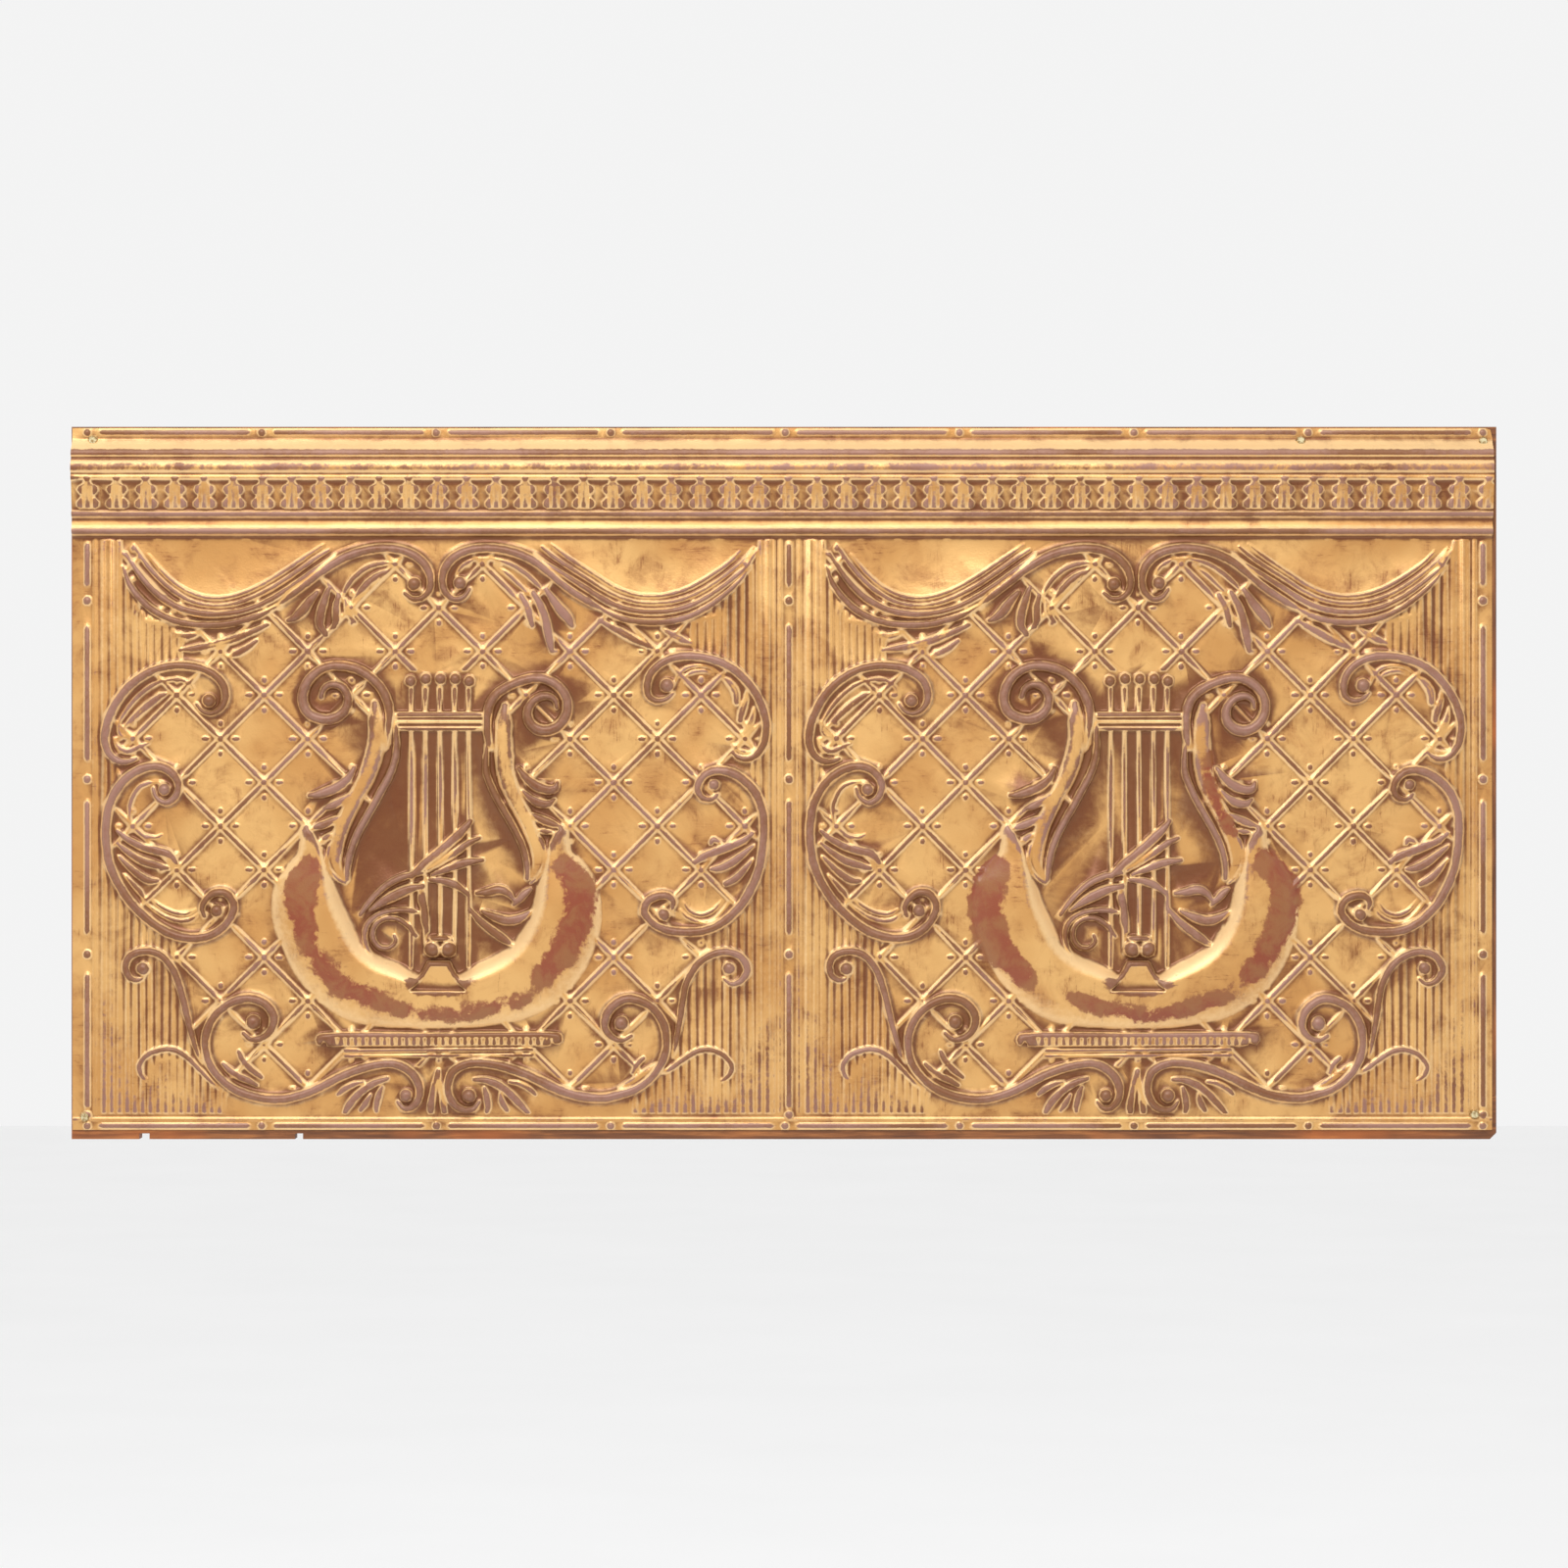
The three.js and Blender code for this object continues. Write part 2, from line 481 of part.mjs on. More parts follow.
function lyre() {
  const pieces = [lyreBody(), ...LYRE_RIBS.map(([height, points]) => rib(height, points, { flat: 0.55 }))];
  for (const x of STRINGS) {
    pieces.push(straightRib(3, [x, -112], [x, STRING_TOP], 2.6));
    pieces.push(knob(x, 129.5, 5.4, 6));
  }
  const [barY, barHalf, barHeight] = CROSSBAR;
  pieces.push(straightRib(barHeight, [-38, barY], [40, barY], barHalf, 0.8));
  // the foot under the strings
  const foot = [[-34, -147, 9], [34, -147, 9], [24, -138, 9], [12, -122, 9], [9, -100, 8], [-7, -100, 8], [-12, -122, 9],
    [-24, -138, 9]];
  pieces.push(block(foot.map(([x, y]) => [x, y]), ROOT, 9));
  // the two bars that the lyre stands on
  pieces.push(straightRib(6.2, [-101, -186.3], [99, -185.6], 7, 0.75));
  pieces.push(straightRib(4.6, [-84, -198.6], [84, -197.8], 5, 0.7));
  return pieces;
}

// Leaves: height, half width, root, belly and tip
const LEAVES = [
  // on the outside of the arms
  [8, 6.5, [-70, 54], [-92, 34], [-114, 28]], [7, 5.5, [-68, 38], [-86, 22], [-102, 16]],
  [6.5, 5.5, [-74, 14], [-96, 4], [-114, -2]], [8, 6.5, [66, 54], [88, 35], [105, 38]],
  [7, 5.5, [70, 34], [88, 20], [102, 24]], [6.5, 5, [76, 14], [95, 4], [110, -1]],
  // inside the lower scrolls
  [5.4, 5.5, [-285, 0], [-256, -19], [-230, -32]], [5, 5, [-283, -12], [-258, -31], [-238, -36]],
  [4.6, 4.4, [-281, -26], [-262, -44], [-247, -48]], [5.4, 5.5, [279, -3], [250, -19], [225, -31]],
  [5, 5, [277, -14], [255, -33], [239, -37]], [4.6, 4.4, [276, -28], [262, -45], [251, -50]],
  // inside the upper scrolls
  [4, 4.6, [-281, 84], [-258, 105], [-238, 118]], [4, 4.8, [247, 134], [261, 120], [262, 106]],
  [4, 4.8, [272, 122], [268, 104], [264, 92]],
  // under the swags
  [4.6, 5.5, [-146, 180], [-190, 162], [-230, 155]], [4, 4.4, [-200, 176], [-222, 168], [-240, 172]],
  [4, 4, [-226, 180], [-248, 180], [-266, 184]], [4, 4.4, [-158, 166], [-176, 153], [-190, 148]],
  [6, 6.5, [-104, 210], [-119, 192], [-134, 181]], [6, 6, [-94, 210], [-104, 186], [-98, 168]],
  [5.4, 5.5, [-84, 206], [-90, 188], [-92, 174]], [5, 5, [-80, 204], [-78, 190], [-72, 179]],
  [4.6, 5.5, [138, 184], [166, 168], [190, 155]], [4, 4.4, [192, 178], [210, 167], [226, 160]],
  [4, 4, [212, 182], [234, 183], [250, 188]], [5.4, 5.5, [70, 207], [79, 189], [82, 175]],
  [6, 6, [81, 208], [95, 178], [99, 153]], [6, 6.5, [93, 210], [109, 190], [118, 175]],
  // inside the crest scrolls
  [5, 4.8, [-80, 196], [-62, 215], [-43, 227]], [3.6, 3.4, [86, 197], [66, 217], [50, 230]],
  // in the running scroll
  [5, 5, [-194, -204], [-176, -218], [-158, -229]], [4.6, 4.6, [-180, -193], [-168, -210], [-154, -222]],
  [5, 5, [194, -204], [176, -218], [156, -230]], [4.8, 5, [-42, -220], [-64, -230], [-84, -253]],
  [4.4, 4.4, [-60, -222], [-80, -229], [-92, -237]], [4.4, 4, [-46, -226], [-54, -240], [-56, -251]],
  [4.8, 5, [28, -221], [54, -228], [80, -253]], [4.4, 4.4, [56, -222], [74, -227], [88, -237]],
  [4.4, 4, [38, -226], [43, -240], [42, -252]], [5, 4.6, [-1, -211], [-6, -240], [-8, -252]],
  [5, 4.6, [0, -211], [4, -240], [6, -252]],
  // the spray across the strings
  [8.5, 6, [-26, -45], [4, -18], [30, 7]], [7.5, 5.5, [-12, -40], [16, -21], [38, -9]],
  [7.5, 5.5, [-8, -43], [18, -33], [42, -29]], [7, 5, [-10, -46], [12, -50], [28, -62]],
  [7.5, 5.5, [-10, -42], [-40, -50], [-70, -78]], [7.5, 6, [-12, -52], [-40, -61], [-62, -74]],
  [7, 5.5, [28, -60], [52, -56], [68, -65]], [7, 6, [34, -74], [62, -81], [88, -70]],
  [6.5, 5.5, [24, -68], [48, -92], [72, -108]],
];
const SPRAY_STEM = [7, [[-14, -46, 4], [-15, -66, 5], [-11, -94, 3]]];
const SPRAY_CURLS = [
  [6.4, [[-17, -75, 2.4], [-40, -73.5, 3.4], [-61.5, -84, 3.4], [-63, -106, 3.4], [-49, -121.5, 2]]],
  [6.4, [[-20, -96, 2], [-37, -80.5, 3], [-56.5, -87, 3], [-53, -105, 2.8], [-38, -101, 2]]],
];

// The cornice: y and height of its outline from the top edge down, and the hollow behind it
const CORNICE = [[342, 0], [340, 1.2], [332, 9], [329, 11.5], [326, 11.2], [324, 8.6], [320, 12.6], [315, 14.2],
  [311, 11.6], [309.6, 11], [307.5, 12.8], [305, 11.6], [303, 9], [280, 5.4], [278.5, 4.8], [276.4, 8.2], [274, 7.8],
  [271.5, 3.6], [264.5, 4.6], [260.5, 7.6], [257.5, 4.8], [254.6, 0]];
const CORNICE_HOLLOW = [[338.5, -2], [333, 5], [329, 9], [324, 6.6], [318, 10.8], [314, 11.4], [310, 8.6], [304, 8],
  [300, 6.8], [281, 3.6], [278.5, -2]];
const LEAF_UNIT = 25.6;
const LEAF_UNIT_MIDDLE = -303.7;
const BAND_LEAF_HALF = 12;
const BAND_LEAF_TOP = 11.6;

function alongSheet(profile) {
  const shape = new THREE.Shape(profile.map(([y, z]) => new THREE.Vector2(y, z)));
  const geometry = new THREE.ExtrudeGeometry(shape, { depth: SHEET_RIGHT - SHEET_LEFT, bevelEnabled: false });
  geometry.applyMatrix4(new THREE.Matrix4().makeBasis(
    new THREE.Vector3(0, 1, 0), new THREE.Vector3(0, 0, 1), new THREE.Vector3(1, 0, 0),
  ));
  geometry.translate(SHEET_LEFT, 0, 0);
  return solidOf(geometry);
}

// One leaf of the band in the cornice, widest near its lower end
function bandLeaf(x) {
  const [neck, shoulder, hem] = [304, 288, 280.5];
  const low = 4;
  const positions = [[x, neck, low], [x - BAND_LEAF_HALF, shoulder, low], [x, hem, low], [x + BAND_LEAF_HALF, shoulder, low],
    [x, shoulder + 2, BAND_LEAF_TOP]].flat();
  return solid(positions, [0, 1, 4, 1, 2, 4, 2, 3, 4, 3, 0, 4, 0, 2, 1, 0, 3, 2]);
}

function cornice() {
  const pieces = [alongSheet([...CORNICE, [254.6, ROOT], [342, ROOT]].reverse())];
  const first = Math.ceil((SHEET_LEFT - LEAF_UNIT_MIDDLE + 12) / LEAF_UNIT);
  const last = Math.floor((SHEET_RIGHT - LEAF_UNIT_MIDDLE - 12) / LEAF_UNIT);
  for (let k = first; k <= last; k += 1) pieces.push(bandLeaf(LEAF_UNIT_MIDDLE + LEAF_UNIT * k));
  return pieces;
}

// Nail rails: dashes with a button between each two, along all edges and down the middle

const RAIL_XS = [-612.3, 4.3, 614.2];
const RAIL_DASHES = [[249, 213], [176, 59.5], [22, -93], [-130, -246.5]];
const RAIL_BUTTONS = [199, 42, -112, -253];
const TOP_DASH = 346.6;
const BOTTOM_DASH = -262.4;
const BUTTON_SPACING = 153.3;
const BUTTON_CLEARANCE = 11;
const BORDER_XS = [-605.3, -3.3, 13.3, 606.9];

function nailRails() {
  const pieces = [];
  const rail = (from, to) => straightRib(3.2, from, to, 3.6);
  for (const x of RAIL_XS) {
    for (const [high, low] of RAIL_DASHES) pieces.push(rail([x, low], [x, high]));
    for (const y of RAIL_BUTTONS) pieces.push(knob(x, y, 4.4, 3.6));
  }
  for (const y of [TOP_DASH, BOTTOM_DASH]) {
    for (let k = 0; k <= 8; k += 1) {
      const x = RAIL_XS[0] + BUTTON_SPACING * k;
      pieces.push(knob(x, y, 3.7, 3.6));
      if (k === 8) break;
      pieces.push(rail([x + BUTTON_CLEARANCE, y], [x + BUTTON_SPACING - BUTTON_CLEARANCE, y]));
    }
  }
  for (const x of BORDER_XS) pieces.push(straightRib(2, [x, FIELD_BOTTOM - 2], [x, FIELD_TOP], 2.6));
  pieces.push(straightRib(2, [SHEET_LEFT + 2, -256.8], [SHEET_RIGHT - 2, -256.8], 2));
  return pieces;
}

// Screws: name, place in the drawing
const SCREWS = {
  screw_top_left: [-607.4, 340.3],
  screw_top_right: [614.3, 338.6],
  screw_top_mid_right: [454.1, 339.5],
  screw_bottom_left: [-614.3, -254.6],
  screw_bottom_right: [607, -252.4],
};
const HEAD_RADIUS = 4.8;
const HEAD_HEIGHT = 3;
const SHANK_RADIUS = 2;
const HOLE_RADIUS = 2.5;
const SHANK_LENGTH = 17;
const SEAT_RADIUS = 5.4;
const SEAT_RISE = 0.5;
const SCREW_SIDES = 8;

function roundBlock(x, y, radius, low, high) {
  const geometry = new THREE.CylinderGeometry(radius, radius, high - low, SCREW_SIDES);
  geometry.rotateX(Math.PI / 2);
  geometry.translate(x, y, (low + high) / 2);
  return solidOf(geometry);
}

// A pan-head screw along z, its head resting at z = 0
function screw() {
  const profile = [[0, -SHANK_LENGTH - 2], [SHANK_RADIUS, -SHANK_LENGTH], [SHANK_RADIUS, 0], [HEAD_RADIUS, 0],
    [HEAD_RADIUS * 0.7, HEAD_HEIGHT], [0, HEAD_HEIGHT]];
  const geometry = new THREE.LatheGeometry(profile.map(([r, y]) => new THREE.Vector2(r, y)), SCREW_SIDES);
  geometry.rotateX(Math.PI / 2);
  return geometry;
}

// The sheet: a thin plate, with everything that the die raised out of it

function moved(body, { x, stretch }) {
  const geometry = geometryOf(body);
  geometry.scale(stretch, 1, 1);
  geometry.translate(x, 0, 0);
  return solidOf(geometry);
}

function plate() {
  const corner = SHEET_CORNER;
  const outline = [[SHEET_LEFT, SHEET_BOTTOM], [SHEET_RIGHT, SHEET_BOTTOM]];
  for (let step = 0; step <= 3; step += 1) {
    const angle = (Math.PI / 2) * (step / 3);
    outline.push([SHEET_RIGHT - corner + corner * Math.cos(angle), SHEET_TOP - corner + corner * Math.sin(angle)]);
  }
  outline.push([SHEET_LEFT, SHEET_TOP]);
  return block(outline, -SHEET_THICKNESS, 0);
}

function sheet() {
  const motif = [
    ...groundPattern(),
    ...Object.values(SCROLLS).map(([height, points]) => rib(height, points, { flat: 0 })),
    ...SCROLL_EYES.map((eye) => knob(...eye)),
    ...SWAGS.map(swag),
    ...lyre(),
    ...LEAVES.map((numbers) => leaf(...numbers)),
    ...[SPRAY_STEM, ...SPRAY_CURLS].map(([height, points]) => rib(height, points, { flat: 0 })),
  ];
  const pressed = joined(motif);
  const raised = joined([plate(), ...REPEATS.map((repeat) => moved(pressed, repeat)), ...cornice(), ...nailRails()]);
  let body = solidOf(withoutSlivers(geometryOf(raised))).subtract(alongSheet([...CORNICE_HOLLOW].reverse()));
  for (const [x, y] of Object.values(SCREWS)) {
    body = body.subtract(roundBlock(x, y, SEAT_RADIUS, SEAT_RISE, 20));
    body = body.subtract(roundBlock(x, y, HOLE_RADIUS, -2, 20));
  }
  return body;
}

// The wooden frame, in the panel's own axes

function batten(left, right, bottom, top, cuts = []) {
  const geometry = new THREE.BoxGeometry(right - left, BATTEN_DEPTH, top - bottom);
  geometry.translate((left + right) / 2, -BATTEN_DEPTH / 2, (bottom + top) / 2);
  let body = solidOf(geometry);
  for (const [x, y] of Object.values(SCREWS)) {
    const z = y - DRAWING_DROP;
    if (z < bottom || z > top || x < left || x > right) continue;
    const hole = new THREE.CylinderGeometry(HOLE_RADIUS, HOLE_RADIUS, BATTEN_DEPTH, SCREW_SIDES);
    hole.translate(x, -BATTEN_DEPTH / 2 - 2, z);
    body = body.subtract(solidOf(hole));
  }
  for (const cut of cuts) body = body.subtract(cut);
  return geometryOf(body);
}

const HALF_WIDTH = FRAME_WIDTH / 2;
const FRAME_TOP = BATTEN_WIDTH / 2;
const FRAME_BOTTOM = FRAME_TOP - FRAME_HEIGHT;

function notch({ x, width }) {
  const geometry = new THREE.BoxGeometry(width, 2 * BATTEN_DEPTH, 2 * NOTCH_DEPTH);
  geometry.translate(x, -BATTEN_DEPTH, FRAME_BOTTOM);
  return solidOf(geometry);
}

function wornCorner() {
  const geometry = new THREE.BoxGeometry(2 * CORNER_WEAR, 3 * BATTEN_DEPTH, 2 * CORNER_WEAR);
  geometry.rotateY(Math.PI / 4);
  geometry.translate(HALF_WIDTH, -BATTEN_DEPTH / 2, FRAME_BOTTOM);
  return solidOf(geometry);
}

const RAIL_BOTTOM = FRAME_TOP - BATTEN_WIDTH;
const LOW_RAIL_TOP = FRAME_BOTTOM + BATTEN_WIDTH;
const stileSpan = [LOW_RAIL_TOP + FIT_GAP, RAIL_BOTTOM - FIT_GAP];
const battens = {
  top_rail: batten(-HALF_WIDTH, HALF_WIDTH, RAIL_BOTTOM, FRAME_TOP),
  bottom_rail: batten(-HALF_WIDTH, HALF_WIDTH, FRAME_BOTTOM, LOW_RAIL_TOP, [...NOTCHES.map(notch), wornCorner()]),
  left_stile: batten(-HALF_WIDTH, -HALF_WIDTH + BATTEN_WIDTH, ...stileSpan),
  right_stile: batten(HALF_WIDTH - BATTEN_WIDTH, HALF_WIDTH, ...stileSpan),
};

// The panel

const panel = new THREE.Group();

function named(name, geometry, material) {
  const mesh = new THREE.Mesh(geometry, material);
  mesh.name = name;
  panel.add(mesh);
  return mesh;
}

for (const [name, geometry] of Object.entries(battens)) named(name, geometry, wood);

// The drawing stands up in front of the frame: its z is the panel's -Y
const drawingPlane = -(BATTEN_DEPTH + FIT_GAP + SHEET_THICKNESS);
const tin = named('tin_sheet', geometryOf(sheet()), gilt);
tin.rotation.x = Math.PI / 2;
tin.position.set(0, drawingPlane, -DRAWING_DROP);

const screwGeometry = screw();
for (const [name, [x, y]] of Object.entries(SCREWS)) {
  const mesh = named(name, screwGeometry, steel);
  mesh.rotation.x = Math.PI / 2;
  mesh.position.set(x, drawingPlane - SEAT_RISE - FIT_GAP, y - DRAWING_DROP);
}

export default panel;
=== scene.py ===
"""A gilt pressed-tin frieze panel, screwed to a frame of four wooden battens.

The relief is drawn as strokes on a flat drawing in millimetres: x across, y up, and height out of the
sheet. The heights on a fine grid become one closed shell of thin metal in front of the battens.
"""
import math

import bmesh
import bpy
import numpy as np
from mathutils import Matrix, Vector


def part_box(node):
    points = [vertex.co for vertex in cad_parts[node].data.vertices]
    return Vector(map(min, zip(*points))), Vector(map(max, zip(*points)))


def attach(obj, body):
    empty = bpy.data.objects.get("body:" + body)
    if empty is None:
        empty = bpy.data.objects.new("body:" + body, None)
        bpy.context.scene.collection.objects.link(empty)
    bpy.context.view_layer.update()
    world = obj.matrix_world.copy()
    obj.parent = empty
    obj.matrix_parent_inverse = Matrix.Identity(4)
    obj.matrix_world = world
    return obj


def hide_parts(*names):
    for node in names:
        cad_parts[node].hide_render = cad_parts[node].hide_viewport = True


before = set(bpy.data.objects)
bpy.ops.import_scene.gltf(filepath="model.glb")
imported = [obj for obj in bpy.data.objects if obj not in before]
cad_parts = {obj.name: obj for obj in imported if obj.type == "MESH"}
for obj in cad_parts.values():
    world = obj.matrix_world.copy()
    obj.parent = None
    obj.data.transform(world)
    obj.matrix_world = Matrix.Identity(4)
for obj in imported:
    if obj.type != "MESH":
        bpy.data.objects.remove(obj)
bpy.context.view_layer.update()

# Sizes, in metres, taken from the frame
MM = 0.001
SHEET_LOW, SHEET_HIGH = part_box("tin_sheet")
RAIL_LOW, RAIL_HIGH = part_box("top_rail")

# The drawing: its zero lies level with the middle of the lyres' strings
SHEET_THICKNESS = 0.8
GROUND = -SHEET_HIGH.y / MM + SHEET_THICKNESS
DRAWING_DROP = 333.0
LEFT, RIGHT = SHEET_LOW.x / MM, SHEET_HIGH.x / MM
BOTTOM, TOP = SHEET_LOW.z / MM + DRAWING_DROP, SHEET_HIGH.z / MM + DRAWING_DROP
REPEATS = [(-303.3, 1.0), (311.1, 0.986)]
GRID_STEP = 1.0
FIELD_TOP, FIELD_BOTTOM = 253.0, -252.0

# The photograph's frame: 1600 px wide, and the panel's own scale in it
IMAGE_WIDTH = 1600
MM_PER_PIXEL = 0.8616
CAMERA_DISTANCE = 4.0
SENSOR = 36.0

# Acanthus scrolls: height, then x, y and half width down the crest
SCROLLS = {
    "upper_left_c": (6.5, [(-213, 108, 1.6), (-208, 102, 2), (-200, 100, 2.4), (-192, 104, 3),
        (-187.5, 113, 4), (-189, 124, 4.4), (-196, 133, 4.6), (-207, 139, 4.8), (-220, 141.6, 4.8),
        (-233, 142, 4.8), (-247, 139, 5), (-260, 133, 5.2), (-272, 124, 5.4), (-281, 113, 5.4),
        (-288, 100, 5.6), (-292.5, 86, 5.4), (-293, 74, 5), (-289, 64, 4.4), (-282, 58.5, 3.8),
        (-274, 57.5, 3.2), (-266, 60, 2.2)]),
    "upper_right_c": (6.5, [(206, 118, 1.6), (200, 112.6, 2), (191, 111, 2.6), (184.5, 115.5, 3.2),
        (183, 124, 4), (186, 134.5, 4.4), (193, 142.5, 4.6), (203, 147.8, 4.8), (215, 150.3, 4.8),
        (228, 150, 4.8), (240, 147.5, 5), (251, 143.3, 5.2), (262, 136.5, 5.2), (271, 127.5, 5.2),
        (278, 118, 5.2), (283.5, 107, 5.2), (287, 95, 5.2), (287.5, 83, 5), (285, 72, 4.6), (279, 63.6, 4),
        (271, 60, 3.4), (263, 61.5, 2.8), (258, 66, 1.8)]),
    "lower_left_c": (7, [(-251, 34, 1.6), (-248, 26, 2.2), (-240, 21.5, 3), (-232, 26, 3.6),
        (-228.5, 35, 4.2), (-231, 43.5, 4.6), (-237.5, 50, 4.8), (-247, 53.5, 5), (-257, 52.5, 5.2),
        (-267.5, 48, 5.4), (-277, 40.5, 5.4), (-284, 31, 5.4), (-289, 20, 5.4), (-291.5, 8, 5.4),
        (-292.5, -5, 5.4), (-291.5, -18, 5.4), (-289.5, -31, 5.4), (-285, -43, 5.4), (-279, -54, 5.4),
        (-271.5, -65, 5.4), (-262, -75, 5.4), (-251, -84.5, 5.4), (-239, -92, 5.4), (-226, -96.5, 5.2),
        (-213, -97.5, 5), (-200, -94.5, 4.8), (-189, -87.5, 4.6), (-182, -77.5, 4.6), (-180.5, -67, 4.6),
        (-186.5, -58.5, 4.4), (-196.5, -57.5, 4), (-204, -63, 3.4), (-208, -71, 2.8), (-206, -78.5, 1.8)]),
    "lower_right_c": (7, [(245, 29, 1.6), (239.5, 24.5, 2.4), (231.5, 26, 3.2), (227.5, 33, 4),
        (230, 41.5, 4.4), (237, 47.8, 4.8), (247, 50, 5), (257.5, 47.5, 5.2), (267, 42, 5.2),
        (275, 34.5, 5.4), (280.5, 26, 5.4), (284, 15.5, 5.4), (285.5, 3.5, 5.4), (285.2, -10, 5.4),
        (284, -23, 5.4), (281.8, -35, 5.4), (278.5, -45, 5.4), (274, -55, 5.4), (267.5, -66, 5.4),
        (259, -75.5, 5.4), (249.5, -83.5, 5.4), (238, -89.5, 5.2), (225, -92, 5), (211, -92, 5),
        (198.5, -89.5, 4.8), (187.5, -83.5, 4.6), (181, -74.5, 4.6), (183.5, -65.5, 4.6), (192, -60.5, 4.4),
        (201, -60.5, 4), (206, -65.5, 3.4), (204.5, -72.5, 2)]),
    "left_s": (6.5, [(-258, -131, 1.8), (-264.5, -134.5, 2.6), (-272, -131.5, 3.6), (-275, -123, 4.4),
        (-272, -114.5, 4.6), (-264.5, -110, 4.6), (-256, -109, 4.6), (-247, -111, 4.6),
        (-239.5, -116.5, 4.4), (-233.5, -125, 4.2), (-229, -136, 4), (-225, -150, 3.8), (-221.5, -165, 3.6),
        (-217.5, -180, 3.2), (-213, -195, 2.8), (-207.5, -208, 2.2)]),
    "right_s": (6.5, [(250, -133, 1.8), (257.5, -138, 2.6), (266, -134.5, 3.6), (271, -126, 4.4),
        (268, -117, 4.6), (261, -111.5, 4.6), (250, -109.5, 4.6), (239, -112.5, 4.6), (229.5, -118.5, 4.4),
        (222, -128, 4.2), (217, -139, 4), (214.5, -152, 3.8), (212.5, -165, 3.6), (210.5, -178, 3.2),
        (208, -190, 2.8), (205.5, -202, 2.2)]),
    "left_tendril": (5, [(-256, -223, 1.6), (-261.5, -218, 2.6), (-263, -209, 3), (-256.5, -200.5, 3.2),
        (-247, -196.5, 3.4), (-238, -195, 3.4), (-229.5, -197, 3.4), (-221.5, -202, 3.2),
        (-214.5, -208.5, 3), (-206.5, -216.5, 3), (-198.5, -224.5, 3), (-190, -231, 2.8)]),
    "right_tendril": (5, [(246.5, -224, 1.6), (254.5, -219, 2.6), (257.5, -210.5, 3), (253, -203, 3.2),
        (246, -198, 3.4), (235.5, -195.5, 3.4), (225, -198, 3.4), (214, -205, 3.2), (203, -212.5, 3),
        (191, -217.5, 3)]),
    "left_runner": (7, [(-172, -181, 2), (-165, -186.5, 3), (-155, -185, 4), (-147.5, -178.5, 4.6),
        (-144.8, -169, 5), (-148, -160, 5), (-155.5, -153.5, 5), (-166, -150.5, 5), (-177, -152, 5),
        (-188, -157.5, 5), (-197, -166, 5), (-203, -177, 5), (-205.5, -190, 5), (-203.5, -203, 5),
        (-198, -214, 5), (-189.5, -223, 5), (-178.5, -230.5, 5), (-166, -235.5, 5), (-152, -238.5, 5),
        (-138, -239, 5), (-124, -236, 5), (-110, -231, 5), (-96, -224, 5), (-82, -217.3, 5), (-68, -212, 5),
        (-54, -208.5, 5), (-41, -207.5, 5), (-30.5, -211, 5), (-21.5, -218.5, 5), (-17, -228.5, 5),
        (-18, -239, 4.4), (-24, -246.5, 3.4), (-31, -247, 2.6), (-36, -241.5, 1.8)]),
    "right_runner": (7, [(35.5, -241.5, 1.8), (30.5, -247.5, 2.6), (22.5, -248.5, 3.4), (14, -244, 4.4),
        (8.5, -235, 5), (8, -225, 5), (12, -215.5, 5), (20, -209.5, 5), (31, -206.8, 5.2),
        (44, -207.5, 5.4), (58, -210.5, 5.6), (72, -215.5, 5.6), (86, -221.5, 5.6), (100, -228, 5.6),
        (114, -233.5, 5.6), (129, -237, 5.4), (145, -237.8, 5.2), (160, -234.5, 5.2), (174, -229.5, 5),
        (186, -220.5, 5), (195, -209, 5), (200, -195.5, 5), (200, -182, 5), (196, -169.5, 5),
        (188, -159, 5), (177, -152.8, 5), (165, -151, 5), (154.5, -156, 5), (147.5, -165, 5),
        (146, -176, 4.4), (152, -184.5, 3.4), (161, -187.5, 2.6), (169, -183.5, 1.8)]),
    "left_crest_scroll": (7, [(-140, 196.5, 3.6), (-128, 205.5, 4.2), (-116, 214.5, 4.6),
        (-103.5, 224, 4.8), (-91, 232.5, 5), (-77, 239.3, 5), (-62, 243.5, 5), (-47, 245, 5),
        (-33, 243.3, 5), (-20.5, 238, 5), (-11.5, 229.5, 4.8), (-7, 219, 4.4), (-8, 208.5, 3.8),
        (-14.5, 201.5, 3), (-23, 200.5, 2.4), (-30, 205.5, 1.8)]),
    "right_crest_scroll": (7, [(142, 193, 3.6), (130, 199.5, 4.2), (118, 207, 4.6), (106, 216, 4.8),
        (95, 225.5, 5), (82.5, 234.5, 5), (69, 240.5, 5), (54.5, 244, 5), (40, 245, 5), (26, 243, 5),
        (14, 237.5, 5), (6, 228.5, 4.8), (3, 217.5, 4.4), (5.5, 207, 3.8), (13, 200.5, 3), (21.5, 202, 2.4),
        (27, 209, 1.8)]),
}

